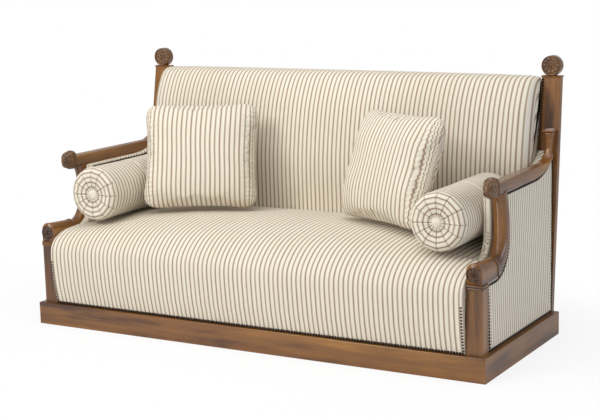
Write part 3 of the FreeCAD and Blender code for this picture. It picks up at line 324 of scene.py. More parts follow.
def colour(red, green, blue):
    """A colour from its display values to the linear ones that Blender takes."""
    return tuple((v / 255.0 / 12.92) if v <= 10 else ((v / 255.0 + 0.055) / 1.055) ** 2.4
                 for v in (red, green, blue)) + (1.0,)


def mahogany(name, along, tint=1.0):
    """Polished wood: long grain lines and pores along one axis, with darker clouding."""
    finish = Finish(name, Roughness=0.3, Coat_Weight=0.6, Coat_Roughness=0.09, Specular_IOR_Level=0.4)
    stretch = tuple(1.6 if axis == along else 22.0 for axis in "xyz")
    fine = tuple(9.0 if axis == along else 260.0 for axis in "xyz")
    place = finish.place()
    cloud = finish.noise(place, 3.5, 2.0)
    grain = finish.noise(finish.scaled(place, stretch), 1.0, 5.0, 0.62)
    pores = finish.noise(finish.scaled(place, fine), 1.0, 2.0, 0.6)
    figure = grain * 0.62 + cloud * 0.26 + pores * 0.12
    dark, mid, light = (tuple(c * tint for c in tone[:3]) + (1.0,) for tone in
                        (colour(70, 38, 15), colour(125, 80, 31), colour(158, 108, 44)))
    tone = finish.blend(figure.step(0.36, 0.52), dark, mid)
    tone = finish.blend(figure.step(0.5, 0.68), tone, light)
    finish.feed(Base_Color=finish.blend(pores.step(0.62, 0.78) * 0.35, tone, dark),
                Roughness=0.24 + 0.2 * grain + 0.06 * pores)
    finish.bump(grain * 0.3 + pores * 0.7, 0.12, 0.0006)
    return finish.material


STRIPE_PITCH = 0.0195


def striped(name, waver, axis=None, paint_crease_shade=False):
    """Cream cotton with narrow brown stripes, every other one greyer, in a plain weave.

    The stripes follow an axis or, without one, the cloth values kept on the mesh."""
    finish = Finish(name, Roughness=0.86, Specular_IOR_Level=0.2, Sheen_Weight=0.12)
    place = finish.place()
    way = finish.along(place, axis) if axis else finish.kept("cloth")
    turns = (way + (finish.noise(place, 9.0, 2.0) - 0.5) * waver) / STRIPE_PITCH
    off = (turns.fraction() - 0.5).absolute()
    thread = finish.noise(finish.scaled(place, (900.0, 900.0, 900.0)), 1.0, 1.0)
    band = 1.0 - (off + (thread - 0.5) * 0.06).step(0.11, 0.21)
    halo = 1.0 - off.step(0.18, 0.34)
    other = (turns * 0.5).fraction().step(0.49, 0.51)
    brown = finish.blend(other, colour(150, 124, 101), colour(160, 143, 121))
    ground = finish.blend(finish.noise(place, 5.0, 2.0), colour(227, 219, 201), colour(236, 229, 213))
    ground = finish.blend(halo * 0.2, ground, colour(196, 182, 158))
    cloth = finish.blend(band * 0.88, ground, brown)
    cloth = finish.blend(thread.step(0.35, 0.65) * 0.1, cloth, colour(150, 140, 122))
    # Painted shade: the crease values kept on the mesh darken the cloth towards a dark brown in the folds.
    if paint_crease_shade:
        cloth = finish.blend(finish.kept("crease") * 0.62, cloth, colour(98, 76, 58))
    finish.feed(Base_Color=cloth)
    finish.bump(thread, 0.25, 0.0004)
    return finish.material


def plain(name, tone, other, scale, roughness, metallic=0.0, strength=0.2):
    """A lightly mottled finish."""
    finish = Finish(name, Roughness=roughness, Metallic=metallic)
    place = finish.place()
    mottle = finish.noise(place, scale, 4.0, 0.6)
    finish.feed(Base_Color=finish.blend(mottle.step(0.3, 0.7), tone, other))
    finish.bump(mottle, strength, 0.0006)
    return finish.material


WOOD = {axis: mahogany("mahogany_along_" + axis, axis) for axis in "xyz"}
CARVED = mahogany("mahogany_carved", "z", 0.62)
STRIPE_X = striped("stripes_over_seat_and_back", 0.003, (1.0, 0.0, 0.0))
STRIPE_Y = striped("stripes_outside_arms", 0.003, (0.0, 1.0, 0.0))
STRIPE_RUN = striped("stripes_on_arm_pads_and_pillows", 0.0015)
# The bolsters' stripes carry painted shade in the creases of their pleated ends.
STRIPE_ROUND = striped("stripes_round_bolsters_painted_crease_shade", 0.001, paint_crease_shade=True)
CREAM = plain("cream_button_cloth", colour(231, 223, 206), colour(214, 204, 186), 60.0, 0.85)
BEECH = plain("beech", colour(186, 150, 108), colour(164, 126, 84), 14.0, 0.6)
JUTE = plain("jute", colour(150, 128, 96), colour(122, 102, 74), 220.0, 0.9, strength=0.5)
COPPERED = plain("coppered_wire", colour(150, 112, 84), colour(120, 92, 72), 40.0, 0.4, metallic=0.9)
NAIL = plain("bronzed_nails", colour(60, 46, 34), colour(34, 26, 20), 500.0, 0.36, metallic=0.55)


def dress(piece, material, body="settee", replaces=()):
    """Finish a new piece: its material, its body and what it stands for."""
    piece.data.materials.clear()
    piece.data.materials.append(material)
    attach(piece, body)
    if replaces:
        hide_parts(*replaces)
    return piece


def paint(node, material):
    """Give a node of the frame its finish."""
    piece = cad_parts[node]
    for slot in piece.material_slots:
        slot.link = "OBJECT"
        slot.material = material


# The frame's own pieces

for node in ("plinth_front", "plinth_back"):
    paint(node, WOOD["x"])
for end in SIDE_NAMES.values():
    paint("plinth_side_" + end, WOOD["y"])
    for node in ("front_post_", "back_post_", "arm_capital_", "post_cap_"):
        paint(node + end, WOOD["z"])
    for node in ("seat_rail_side_", "seat_brace_", "arm_board_"):
        paint(node + end, BEECH)
for node in ("seat_rail_front", "seat_rail_back", "back_top_rail", "back_low_rail"):
    paint(node, BEECH)
for node in ("seat_webbing", "back_webbing", "under_lining"):
    paint(node, JUTE)

# Scroll, ring, support and arm


def run_line(turns):
    """The flat side of the lower bend: depth, height and the direction that rises from it."""
    turns = np.asarray(turns, float)
    foot = np.stack([BEND_START + BEND * np.sin(turns), BEAD_TOP + BEND * (1 - np.cos(turns))], -1)
    return foot, np.stack([-np.sin(turns), np.cos(turns)], -1)


def lean_line(turns):
    """The flat side of the leaning top, which bends forwards as it climbs."""
    turns = np.asarray(turns, float)
    foot = np.stack([BEND_START + BEND - LEAN * (1 - np.cos(turns)),
                     BEAD_TOP + BEND + LEAN * np.sin(turns)], -1)
    return foot, np.stack([-np.cos(turns), -np.sin(turns)], -1)


RING_TURN = math.asin((RING_AT - BEND_START) / BEND)
SCROLL_HALF, SCROLL_ROUNDING, FLUTE_DEPTH = 30.0, 2.0, 2.6
RING_HALF, RING_HEIGHT, RING_REACH, RING_STAND, ROPE_DEPTH = 28.9, 65.0, 4.6, 4.2, 1.3
SUPPORT_HALF = 28.0
SUPPORT_DEPTHS = [(0, 63), (0.14, 57.9), (0.28, 54.5), (0.42, 51.4), (0.56, 49.4), (0.7, 47.7), (0.85, 46.5),
                  (1, 46), (1.25, 41.5), (1.5, 37.6), (1.75, 35), (2, 33)]


def scroll(side):
    """A round-topped block that runs back to the ring: straight, then along the start of the bend."""
    flat = np.linspace(SCROLL_START, BEND_START, 26)
    straight = np.stack([flat, np.full_like(flat, BEAD_TOP)], -1)
    bent, rise = run_line(np.linspace(0, RING_TURN, 6)[1:])
    lower = np.concatenate([straight, bent])
    up = np.concatenate([np.tile([0.0, 1.0], (len(flat), 1)), rise])
    depth = np.interp(lower[:, 0], [SCROLL_START, 55, BEND_START, RING_AT], [78, 74, 69, 66])
    edge = np.clip((lower[:, 0] - SCROLL_START) / SCROLL_ROUNDING, 0, 1)
    shrink = SCROLL_ROUNDING * (1 - np.sqrt(1 - (1 - edge) ** 2))
    half = SCROLL_HALF - 0.5 * ease(60, 150, lower[:, 0]) - shrink
    leaf = ease(19, 27, lower[:, 0]) * (1 - ease(58, 70, lower[:, 0]))

    def flutes(angle):
        """Leaves folded back over the top from the carved face."""
        return -FLUTE_DEPTH * leaf[:, None] * (1 - np.abs(np.cos(angle * 5)) ** 0.6)

    upper = lower + up * (depth - shrink)[:, None]
    return bar("scroll_wood_" + SIDE_NAMES[side], lower, upper, half, POST_MIDDLE, half, half, 4.0, side, flutes)


def ring(side):
    """A half-round band round the end of the scroll."""
    steps = np.linspace(-1.0, 1.0, 11)
    foot, rise = run_line([RING_TURN])
    ahead = np.array([rise[0][1], -rise[0][0]])
    stand = RING_STAND * np.sqrt(np.clip(1 - steps ** 2, 0, 1))
    lower = foot + ahead * (RING_REACH * steps)[:, None] + rise * 0.5
    half = RING_HALF + stand

    def rope(angle):
        """The strands of a rope that winds round the band."""
        strands = 1 - np.abs(np.cos(angle * 7 + 0.9 * steps[:, None])) ** 0.5
        return -ROPE_DEPTH * (stand / RING_STAND)[:, None] * strands

    upper = lower + rise * (RING_HEIGHT + stand)[:, None]
    return bar("scroll_ring_" + SIDE_NAMES[side], lower, upper, half, POST_MIDDLE, half, half, 4.0, side, rope)


def support(side):
    """The C-shaped support: deep at the ring, slimmer up the bend and under the arm, rounded in front."""
    bent, bent_rise = run_line(np.linspace(RING_TURN, math.pi / 2, 40))
    top = math.asin((ARM_UNDER + 8 - BEAD_TOP - BEND) / LEAN)
    lean, lean_rise = lean_line(np.linspace(0, top, 30)[1:])
    lower, rise = np.concatenate([bent, lean]), np.concatenate([bent_rise, lean_rise])
    share = np.concatenate([np.linspace(0, 1, 40), 1 + np.linspace(0, 1, 30)[1:]])
    depth = np.interp(share, *np.array(SUPPORT_DEPTHS).T)
    return bar("support_wood_" + SIDE_NAMES[side], lower, lower + rise * depth[:, None], SUPPORT_HALF,
               POST_MIDDLE - 1.0, SUPPORT_HALF, 0.55 * depth, 3.0, side)


def arm(side):
    """A bar that narrows towards the back, sweeps up the post, draws in to a neck and flares."""
    sweep_at, sweep, tail_front, tail_half = 698.0, 58.0, 757.0, 11.0
    top = np.concatenate([[[ARM_START, ARM_TOP]], [[sweep_at, ARM_TOP]],
                          arc((sweep_at, ARM_TOP + sweep), sweep, -90, 0, 16)[1:], [[tail_front, TAIL_TOP]]])
    run, rise = face_at(HEEL) - SOLE_AT, HEEL - ARM_UNDER
    radius = (run * run + rise * rise) / (2 * rise)
    climb = math.degrees(2 * math.atan2(rise, run))
    under = np.concatenate([[[ARM_START, ARM_UNDER]],
                            arc((SOLE_AT, ARM_UNDER + radius), radius, -90, -90 + climb, 20),
                            [[face_at(TAIL_TOP), TAIL_TOP]]])
    upper, lower = evenly(top, 90), evenly(under, 90)
    taper = 15.0 * (upper[:, 0] - ARM_START) / 688.0
    bar_half, bar_middle = 27.0 - taper / 2, ARM_MIDDLE - taper / 2
    neck = ease(ARM_TOP + 1, 712, upper[:, 1])
    flare = ease(716, TAIL_TOP + 6, upper[:, 1])
    half = bar_half + neck * (tail_half - bar_half) + 6.0 * flare
    middle = bar_middle + neck * (TAIL_MIDDLE - bar_middle)
    crown = 9.0
    return bar("arm_wood_" + SIDE_NAMES[side], lower, upper, half, middle, np.minimum(crown, 0.7 * half), crown,
               2.5, side)


def beads(side):
    """Two half-round beads between the post and the scroll, flush on the inside and behind."""
    angles = np.concatenate([np.linspace(-90, 90, 13)] * 2)
    centres = np.repeat([BEAD_LOW + 4.5, BEAD_LOW + 13.5], 13)
    out = 3.2 * np.cos(np.radians(angles))
    z = centres + 4.4 * np.sin(np.radians(angles))
    corner, turns = 2.5, np.linspace(0, math.pi / 2, 6)
    x0, x1, y0, y1 = POST_IN + 0.2, POST_OUT, POST_FRONT, POST_BACK - 0.2
    c, s = corner * (1 - np.cos(turns)), corner * (1 - np.sin(turns))
    loop_x = np.concatenate([x1 - c, x0 + s, x0 + c, x1 - s])[None]
    loop_y = np.concatenate([y1 - s, y1 - c, y0 + s, y0 + c])[None]
    grow_x = out[:, None] * ease(x0, x1, loop_x)
    grow_y = out[:, None] * (1 - ease(y0, y1, loop_y))
    rings = metres(side * (loop_x + grow_x), loop_y - grow_y, z[:, None] + 0 * loop_x)
    return closed_run("bead_wood_" + SIDE_NAMES[side], rings)


# Carving


def petals(angle, share, count, sharp=0.6):
    """Height of a ring of petals: rounded lobes with a groove between, each with a middle vein."""
    lobe = np.abs(np.cos(angle * count / 2)) ** sharp
    vein = 1 - 0.28 * np.exp(-((np.mod(angle * count / (2 * math.pi) + 0.5, 1) - 0.5) * 9) ** 2)
    return lobe * vein * np.sin(np.clip(share, 0, 1) * math.pi) ** 0.7


def carved_disc(name, centre, radius, thick, relief, count, floor_z, side):
    """A disc facing the front: rim, petals in two rows and a boss, with a rounded edge and a flat foot."""
    angle = whole_turn(144)[None]
    share = np.linspace(0.02, 0.97, 40)[:, None]
    rim = np.exp(-((share - 0.9) / 0.055) ** 2)
    outer = petals(angle, (share - 0.42) / 0.42, count) * (share > 0.42) * (share < 0.84)
    inner = petals(angle + math.pi / count, (share - 0.16) / 0.28, count) * (share > 0.16) * (share < 0.44)
    boss = np.clip(1 - (share / 0.17) ** 2, 0, 1) ** 0.5 * (1 - 0.2 * np.cos(angle * 6) ** 2)
    height = relief * (rim + 0.85 * outer + 0.75 * inner + boss) + 0 * angle
    edge = np.linspace(0, 1, 7)[1:, None]
    x, z = radius * share * np.cos(angle), radius * share * np.sin(angle)
    depth = -height
    bevel = 0.1 * thick
    turn = edge * math.pi / 2
    ring_r = radius * 0.97 + (radius * 0.03) * np.sin(turn)
    x_edge, z_edge = ring_r * np.cos(angle), ring_r * np.sin(angle)
    d_edge = -0.35 * relief * np.cos(turn) + bevel * (1 - np.cos(turn)) + 0 * angle
    far = np.array([[thick - bevel, 1.0], [thick - 0.4 * bevel, 0.99], [thick, 0.965], [thick, 0.6],
                    [thick, 0.02]])
    x_far, z_far = radius * far[:, 1:] * np.cos(angle), radius * far[:, 1:] * np.sin(angle)
    d_far = far[:, :1] + 0 * angle
    x, z = np.concatenate([x, x_edge, x_far]), np.concatenate([z, z_edge, z_far])
    depth = np.concatenate([depth, d_edge, d_far])
    z = centre[2] + z
    if floor_z is not None:
        z = np.maximum(z, floor_z)
    return closed_run(name, metres(side * (centre[0] + x), centre[1] + depth, z))


def knob(side):
    """The carved end of an arm: an egg along the arm, squarer than round, with leaves folded over it."""
    half, rise, length, middle_z, overlap, squareness = 26.5, 37.0, 60.0, 652.0, 1.5, 3.2
    share = np.linspace(0, 1, 90)[:, None]
    angle = whole_turn(240)[None]
    body = np.sin(np.clip(share / 0.8, 0, 1) * math.pi / 2) ** 0.5
    nape = 1 - 0.2 * np.exp(-((share - 0.82) / 0.035) ** 2)
    collar = 1 + 0.02 * ease(0.86, 0.9, share) - 0.05 * ease(0.965, 1.0, share)
    groove = 0.06 * np.exp(-((share - 0.94) / 0.012) ** 2)
    square = (np.abs(np.cos(angle)) ** squareness + np.abs(np.sin(angle)) ** squareness) ** (-1 / squareness)
    leaf = ease(0.01, 0.12, share) * (1 - ease(0.7, 0.8, share))
    lobes = np.abs(np.cos(angle * 4 + 0.25)) ** 0.55
    vein = 0.05 * np.exp(-((np.mod(angle * 8 / (2 * math.pi) + 0.32, 1) - 0.5) * 11) ** 2)
    fold = np.exp(-((share - 0.42 - 0.1 * lobes) / 0.035) ** 2)
    tip = np.exp(-((share - 0.2 - 0.05 * lobes) / 0.03) ** 2)
    size = (body * nape * collar * (0.94 * square + 0.06) - groove
            + leaf * (0.17 * (lobes - 0.85) - vein - 0.12 * fold - 0.07 * tip))
    x = half * size * np.cos(angle)
    z = rise * size * np.sin(angle)
    y = ARM_START + overlap - length * (1 - share) + 0 * angle
    return closed_run("knob_wood_" + SIDE_NAMES[side], metres(side * (ARM_MIDDLE + x), y, middle_z + z))


for side, end in SIDE_NAMES.items():
    for piece, material, node in (
            (scroll(side), WOOD["y"], "scroll_"),
            (ring(side), CARVED, None),
            (carved_disc("scroll_rosette_" + end, (POST_MIDDLE, 16.4, 377.5), 28.0, 4.0, 6.2, 8, None, side),
             CARVED, None),
            (support(side), WOOD["z"], "arm_support_"),
            (arm(side), WOOD["y"], "arm_"),
            (beads(side), WOOD["x"], "front_bead_"),
            (knob(side), CARVED, "arm_knob_"),
            (carved_disc("finial_wood_" + end, (HALF_OPENING + 37.5, 824.0, CAP_TOP + 37.0), 39.0, 33.5, 5.0,
                         10, CAP_TOP, side), CARVED, "finial_")):
        dress(piece, material, replaces=[node + end] if node else ())

# Seat and back covers


def spread(stations, x):
    """A value read from stations across the settee, smoothed between them."""
    at, values = np.array(stations).T
    fine = np.linspace(0, 1, 400)
    rough = np.interp(fine, at, values)
    kernel = np.hanning(21)
    smooth = np.convolve(np.pad(rough, 10, mode="edge"), kernel / kernel.sum(), "valid")
    blend = ease(0.9, 0.97, fine)
    return np.interp(np.abs(x), fine, smooth * (1 - blend) + rough * blend)


def inset_loop(y, z, amount):
    """A closed outline moved inwards along its own normals."""
    ty, tz = np.roll(y, -1, 1) - np.roll(y, 1, 1), np.roll(z, -1, 1) - np.roll(z, 1, 1)
    size = np.hypot(ty, tz) + 1e-9
    turn = np.sign((y * np.roll(z, -1, 1) - np.roll(y, -1, 1) * z).sum(1))[:, None]
    return y - turn * amount * tz / size, z + turn * amount * ty / size


SEAT_MIDDLE = [(17, 91), (13, 92), (12, 104), (5, 138), (-2, 172), (-9, 235), (-12.5, 290), (-8, 326), (7, 353),
               (30, 376), (60, 398), (96, 415), (139, 428), (186, 437), (239, 444), (292, 448.5), (350, 450),
               (404, 448.5), (480, 444), (560, 437), (627.5, 430)]
SEAT_END = [(17, 91), (13, 92), (12, 104), (5, 138), (-2, 172), (-9, 235), (-12, 290), (-8, 322), (5, 344),
            (26, 362), (56, 376), (96, 383), (139, 386), (186, 388), (239, 390), (292, 391), (350, 391),
            (404, 391), (480, 389), (560, 386), (627.5, 382)]
SEAT_SPREAD = [(0, 1), (0.5, 0.93), (0.72, 0.76), (0.89, 0.39), (0.965, 0.18), (1, 0)]


def end_steps(half, middle_count, radius):
    """Places across a piece: even along its middle, close together round its two rounded ends."""
    inner = np.linspace(-(half - radius), half - radius, middle_count)
    turns = np.linspace(0, math.pi / 2, 8)[1:]
    tip, drop = half - radius + radius * np.sin(turns), radius * (1 - np.cos(turns))
    return (np.concatenate([-tip[::-1], inner, tip]),
            np.concatenate([drop[::-1], np.zeros(middle_count), drop]))


def seat_cover():
    """One closed body: the front and top profile, joined to a flat back and underside, spread across."""
    half, tuck_pitch = SEAT_HALF, 10.0
    x, draw = end_steps(half, 260, 4.0)
    middle, edge = through(SEAT_MIDDLE, 150), through(SEAT_END, 150)
    under = np.array([(627.5, 400), (627.5, 340), (627.5, 293), (500, 291), (300, 291), (120, 291), (21, 291),
                      (19.4, 240), (19.4, 160), (19.4, 100)])
    w = spread(SEAT_SPREAD, x / half)[:, None]
    y, z = (np.concatenate([edge[:, k] + w * (middle[:, k] - edge[:, k]), np.tile(under[:, k], (len(x), 1))], 1)
            for k in range(2))
    y, z = inset_loop(y, z, draw[:, None])
    tuck = np.exp(-((z - 97) / 9) ** 2) * (y < 30)
    y = y + tuck * (1.6 + 1.1 * np.cos(x * 2 * math.pi / tuck_pitch)[:, None])
    pull = ease(600, 628, y) * (z > 300)
    z = z - 5.0 * pull * (1 - ease(860, 898, np.abs(x))[:, None])
    narrow = (half - (HALF_OPENING - 0.6)) * ease(170, 183, y)
    across = x[:, None] * (1 - narrow / half)
    poles = metres(np.array([-half, half]), np.array([12.0, 12.0]), np.array([325.0, 325.0]))
    way = (across + 0 * y) / 1000
    return closed_run("seat_cover", metres(across, y, z), poles, way, (-half / 1000 - 0.2, half / 1000 + 0.2))


BACK_FRONT = [(628.6, 302), (628.6, 380), (628.8, 440), (627.2, 500), (625.4, 564), (627, 637), (635.5, 709),
              (647.5, 780), (664.5, 850), (678, 885), (694, 918), (716, 951), (735, 969), (760, 981),
              (795, 986.5), (830, 985), (848, 976), (853.5, 963)]
BACK_SPREAD = [(0, 1), (0.5, 0.985), (0.82, 0.955), (0.95, 0.87), (0.985, 0.76), (1, 0.56)]


def back_cover():
    """One closed body: a profile that stands out from the raked posts and rolls over the top rail."""
    half = HALF_OPENING - 0.6
    x, draw = end_steps(half, 240, 12.0)
    front = through(BACK_FRONT, 150)
    rear_z = np.array([962.5, 930, 860, 760, 650, 540, 430, 340, 301])
    rear = np.stack([face_at(rear_z) - 0.6, rear_z], -1)
    w = spread(BACK_SPREAD, x / half)[:, None]
    seat_join = ease(450, 560, front[:, 1])
    stand = face_at(front[:, 1]) - front[:, 0]
    hold = np.clip(w + (1 - w) * (1 - seat_join)[None], 0, 1)
    behind = ease(-30, 10, front[:, 0] - face_at(front[:, 1]))
    hold = hold + (1 - hold) * behind
    y = face_at(front[:, 1])[None] - stand[None] * hold
    crown = ease(880, 985, front[:, 1])
    z = front[:, 1][None] - 26.0 * (1 - w) * crown[None]
    y = np.concatenate([y, np.tile(rear[:, 0], (len(x), 1))], 1)
    z = np.concatenate([z, np.tile(rear[:, 1], (len(x), 1))], 1)
    y, z = inset_loop(y, z, draw[:, None])
    poles = metres(np.array([-half, half]), np.array([715.0, 715.0]), np.array([640.0, 640.0]))
    way = (x[:, None] + np.sign(x)[:, None] * 0.6 * draw[:, None] + 0 * y) / 1000
    return closed_run("back_cover", metres(x[:, None] + 0 * y, y, z), poles, way,
                      (-half / 1000 - 0.09, half / 1000 + 0.09))


dress(seat_cover(), STRIPE_RUN, replaces=["seat_border", "seat_pad"])
dress(back_cover(), STRIPE_RUN, replaces=["back_pad"])

# Covers made from the frame's own solids: merged, remeshed, eased and lightly stuffed


def remesh(piece, voxel):
    """Ask for one even mesh in place of the piece's own faces."""
    made = piece.modifiers.new("remesh", "REMESH")
    made.mode, made.voxel_size, made.use_smooth_shade = "VOXEL", voxel, True


def cover_from(node, name, voxel, smooth):
    """A copy of a node's solid as one even mesh with its hard edges eased."""
    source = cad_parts[node]
    piece = bpy.data.objects.new(name, source.data.copy())
    bpy.context.scene.collection.objects.link(piece)
    bpy.context.view_layer.objects.active = piece
    weld = piece.modifiers.new("weld", "WELD")
    weld.merge_threshold = 0.00002
    remesh(piece, voxel)
    ease_edges = piece.modifiers.new("ease", "SMOOTH")
    ease_edges.factor, ease_edges.iterations = 0.5, smooth
    return settled(piece)


def settled(piece):
    """The piece with its modifiers worked into its mesh."""
    graph = bpy.context.evaluated_depsgraph_get()
    mesh = bpy.data.meshes.new_from_object(piece.evaluated_get(graph))
    piece.modifiers.clear()
    old, piece.data = piece.data, mesh
    mesh.name = piece.name
    bpy.data.meshes.remove(old)
    mesh.polygons.foreach_set("use_smooth", np.ones(len(mesh.polygons), bool))
    return piece


def of_points(piece, what):
    """The places or the normals of a piece's points."""
    values = np.empty(len(piece.data.vertices) * 3)
    piece.data.vertices.foreach_get(what, values)
    return values.reshape(-1, 3)


def places(piece):
    return of_points(piece, "co")


def move_to(piece, points):
    piece.data.vertices.foreach_set("co", np.asarray(points, float).ravel())
    piece.data.update()


def puff(piece, pressure, cap, frames=20):
    """Blow the piece up a little as cloth, no point moving further than the cap."""
    before = places(piece)
    cloth = piece.modifiers.new("cloth", "CLOTH")
    cloth.settings.use_pressure = True
    cloth.settings.uniform_pressure_force = pressure
    cloth.settings.quality = 5
    cloth.settings.tension_stiffness = 12
    cloth.settings.compression_stiffness = 12
    cloth.settings.bending_stiffness = 1.5
    cloth.settings.effector_weights.gravity = 0
    cloth.point_cache.frame_start, cloth.point_cache.frame_end = 1, frames
    scene = bpy.context.scene
    for step in range(1, frames + 1):
        scene.frame_set(step)
    settled(piece)
    scene.frame_set(1)
    move = places(piece) - before
    size = np.linalg.norm(move, axis=1, keepdims=True)
    move_to(piece, before + move * np.minimum(1.0, cap / np.maximum(size, 1e-9)))


for side, end in SIDE_NAMES.items():
    panel = cover_from("side_panel_" + end, "side_cover_" + end, 0.0045, 4)
    full = np.clip(of_points(panel, "normal")[:, 0] * side, 0, 1) ** 2 * PANEL_STUFFING / 1000
    move_to(panel, places(panel) + side * full[:, None] * np.array([1.0, 0.0, 0.0]))
    dress(panel, STRIPE_Y, replaces=["side_panel_" + end])
    pad = cover_from("arm_pad_" + end, "arm_cover_" + end, 0.005, 6)
    at = places(pad)
    edge = FRONT + 0.1803 + 0.0607 * ease(0.375, 0.49, at[:, 2])
    behind = np.exp(-np.clip(at[:, 1] - edge, 0, None) / 0.05)
    set_values(pad.data, "cloth", at[:, 1] - (edge - FRONT) * behind - np.abs(at[:, 0]) + 0.004)
    dress(pad, STRIPE_RUN, replaces=["arm_pad_" + end])
outside = cover_from("outside_back", "outside_cover", 0.0035, 1)
dress(outside, STRIPE_X, replaces=["outside_back"])

# Bolsters: gathered ends and a covered button


PLEATS = 12
BUTTON_RADIUS = 20


def bolster(side, end):
    """A profile turned about its axis: pleats draw in the ends, and the cloth between them lies flat."""
    low, high = (corner * 1000 for corner in corners("bolster_" + end))
    centre = (low + high) / 2
    length, radius = high[1] - low[1] - 4, (high[0] - low[0]) / 2 - 1.0
    edge, dish, bed = 30.0, 9.0, 3.0
    flat = radius - edge
    turn = np.linspace(0, math.pi / 2, 12)
    face_r = np.linspace(0.06 * flat, flat, 44)
    face_y = dish * (1 - face_r / flat) ** 1.3
    half_r = np.concatenate([face_r, flat + edge * np.sin(turn[1:])])
    half_y = np.concatenate([face_y, edge - edge * np.cos(turn[1:])])
    body_y = np.linspace(edge, length - edge, 60)[1:-1]
    r = np.concatenate([half_r, np.full(len(body_y), radius), half_r[::-1]])
    y = np.concatenate([half_y, body_y, (length - half_y)[::-1]])
    run = np.concatenate([[0.0], np.cumsum(np.hypot(np.diff(r), np.diff(y)))])
    run = np.minimum(run, run[-1] - run)
    angle = whole_turn(384)[None]
    near_end = np.minimum(y, length - y)[:, None]
    face = 1 - ease(0.4 * edge, 1.25 * edge, near_end)
    uneven = 0.4 * np.sin(3 * angle + 1.3) + 0.28 * np.sin(5 * angle + 0.4 * side)
    gore = angle * PLEATS + uneven
    from_pleat = np.abs(np.mod(gore / (2 * math.pi), 1) - 0.5) * 2
    line = np.exp(-((1 - from_pleat) * r[:, None] / 11.0) ** 2)
    from_small = np.abs(np.mod(gore / math.pi, 1) - 0.5) * 2
    small = np.exp(-((1 - from_small) * r[:, None] / 5.0) ** 2)
    inner = (1 - ease(0.42 * flat, 0.8 * flat, r))[:, None]
    depth = face * (3.6 * line + 2.4 * small * inner) + face * 1.6 * (1 - from_pleat) ** 2
    way = np.where(y < length / 2, 1.0, -1.0)[:, None]
    straight = np.cos(from_pleat * math.pi / PLEATS) / math.cos(0.55 * math.pi / PLEATS)
    ripple = 1 + 0.004 * np.sin(angle * 7 + 0.02 * y[:, None]) * (1 - face)
    sag = 1 - 0.012 * np.sin(math.pi * np.clip(y / length, 0, 1))[:, None] * np.sin(angle) ** 2
    rr = (r[:, None] - 1.8) * ripple * sag * (1 - 0.014 * line * ease(0.5 * flat, flat, r)[:, None] * face)
    yy = y[:, None] + way * (depth - bed * face)
    x = centre[0] + rr * np.cos(angle)
    z = centre[2] + rr * np.sin(angle)
    points = np.stack([x, low[1] + yy + 0 * angle, z], -1) / 1000
    sides = 1 + (straight - 1) * (0.35 + 0.65 * face)
    piece = closed_run("bolster_cover_" + end, points, attribute=run[:, None] / 1000 * sides)
    # Painted shade for the pleat creases of the gathered ends, kept on the mesh as crease values for the stripes
    # to darken.
    crease = np.clip(face * (0.9 * line ** 3 + 0.8 * small ** 3 * inner), 0, 1)
    set_values(piece.data, "crease", np.concatenate([crease.ravel(), [0.0, 0.0]]))
    dress(piece, STRIPE_ROUND, "bolster_" + end, ["bolster_" + end])
    rings = np.stack([button(centre[0], low[1] + 2.0, centre[2], -1),
                      button(centre[0], high[1] - 2.0, centre[2], 1)])
    rows, columns = rings.shape[1:3]
    faces = np.concatenate([dome_faces(rows, columns, n * rows * columns) for n in range(2)])
    made = build("bolster_button_covers_" + end, rings.reshape(-1, 3), faces)
    dress(made, CREAM, "bolster_" + end, ["bolster_buttons_" + end])


def button(x, y, z, facing):
    """A domed, cloth-covered button with a few soft tucks at its rim."""
    share = np.array([0.02, 0.25, 0.5, 0.72, 0.88, 0.97, 1.0, 0.93, 0.7, 0.3, 0.02])[:, None]
    rise = np.array([4.0, 3.7, 2.9, 1.4, -0.6, -2.6, -4.6, -6.4, -7.4, -7.8, -8.0])[:, None]
    angle = whole_turn(48)[None]
    out = BUTTON_RADIUS * share * (1 + 0.015 * np.cos(angle * 12) * ease(0.6, 0.95, share))
    return np.stack([x + out * np.cos(angle), y + facing * rise + 0 * angle, z + out * np.sin(angle)], -1) / 1000


for side, end in SIDE_NAMES.items():
    bolster(side, end)

# Pillows: stuffed as cloth, then gathered along the two sides


def pillow_axes(end):
    """A pillow's own directions, from how it leans and turns: across, up its face, and out of it."""
    side = RIGHT if end == "right" else LEFT
    lean, turn = math.radians(-20.0), math.radians(-side * 25.0)
    turned = Matrix.Rotation(turn, 3, "Z") @ Matrix.Rotation(lean, 3, "X")
    return [np.array(turned @ Vector(axis)) for axis in ((1, 0, 0), (0, 0, 1), (0, -1, 0))]


PILLOW_WIDE, PILLOW_TALL, PILLOW_THICK = 0.252, 0.231, 0.072
SQUARENESS = 0.27
GATHER_PITCH = 0.019


def pillow_form(name, centre, axes):
    """A closed form in polar rings: an outline that is a power curve with drawn-in sides, and a
    thickness that falls from the middle as a power of the distance to the outline."""
    angle = whole_turn(200)[None]
    u, v = (np.sign(turn) * np.abs(turn) ** SQUARENESS * size
            for turn, size in ((np.cos(angle), PILLOW_WIDE), (np.sin(angle), PILLOW_TALL)))
    u, v = (u * (1 - 0.035 * (1 - (v / PILLOW_TALL) ** 2)), v * (1 - 0.015 * (1 - (u / PILLOW_WIDE) ** 2)))
    share = np.sin(np.linspace(0.04, math.pi / 2, 34))
    share = np.concatenate([share, share[-2::-1]])[:, None]
    over = np.concatenate([np.ones(34), -np.ones(33)])[:, None]
    thick = PILLOW_THICK * np.clip(1 - share ** 2.5, 0, 1) ** 0.58 * over
    points = centre
    for reach, axis in zip((share * u, share * v, thick + 0 * u), axes):
        points = points + reach[..., None] * axis
    return closed_run(name, points)


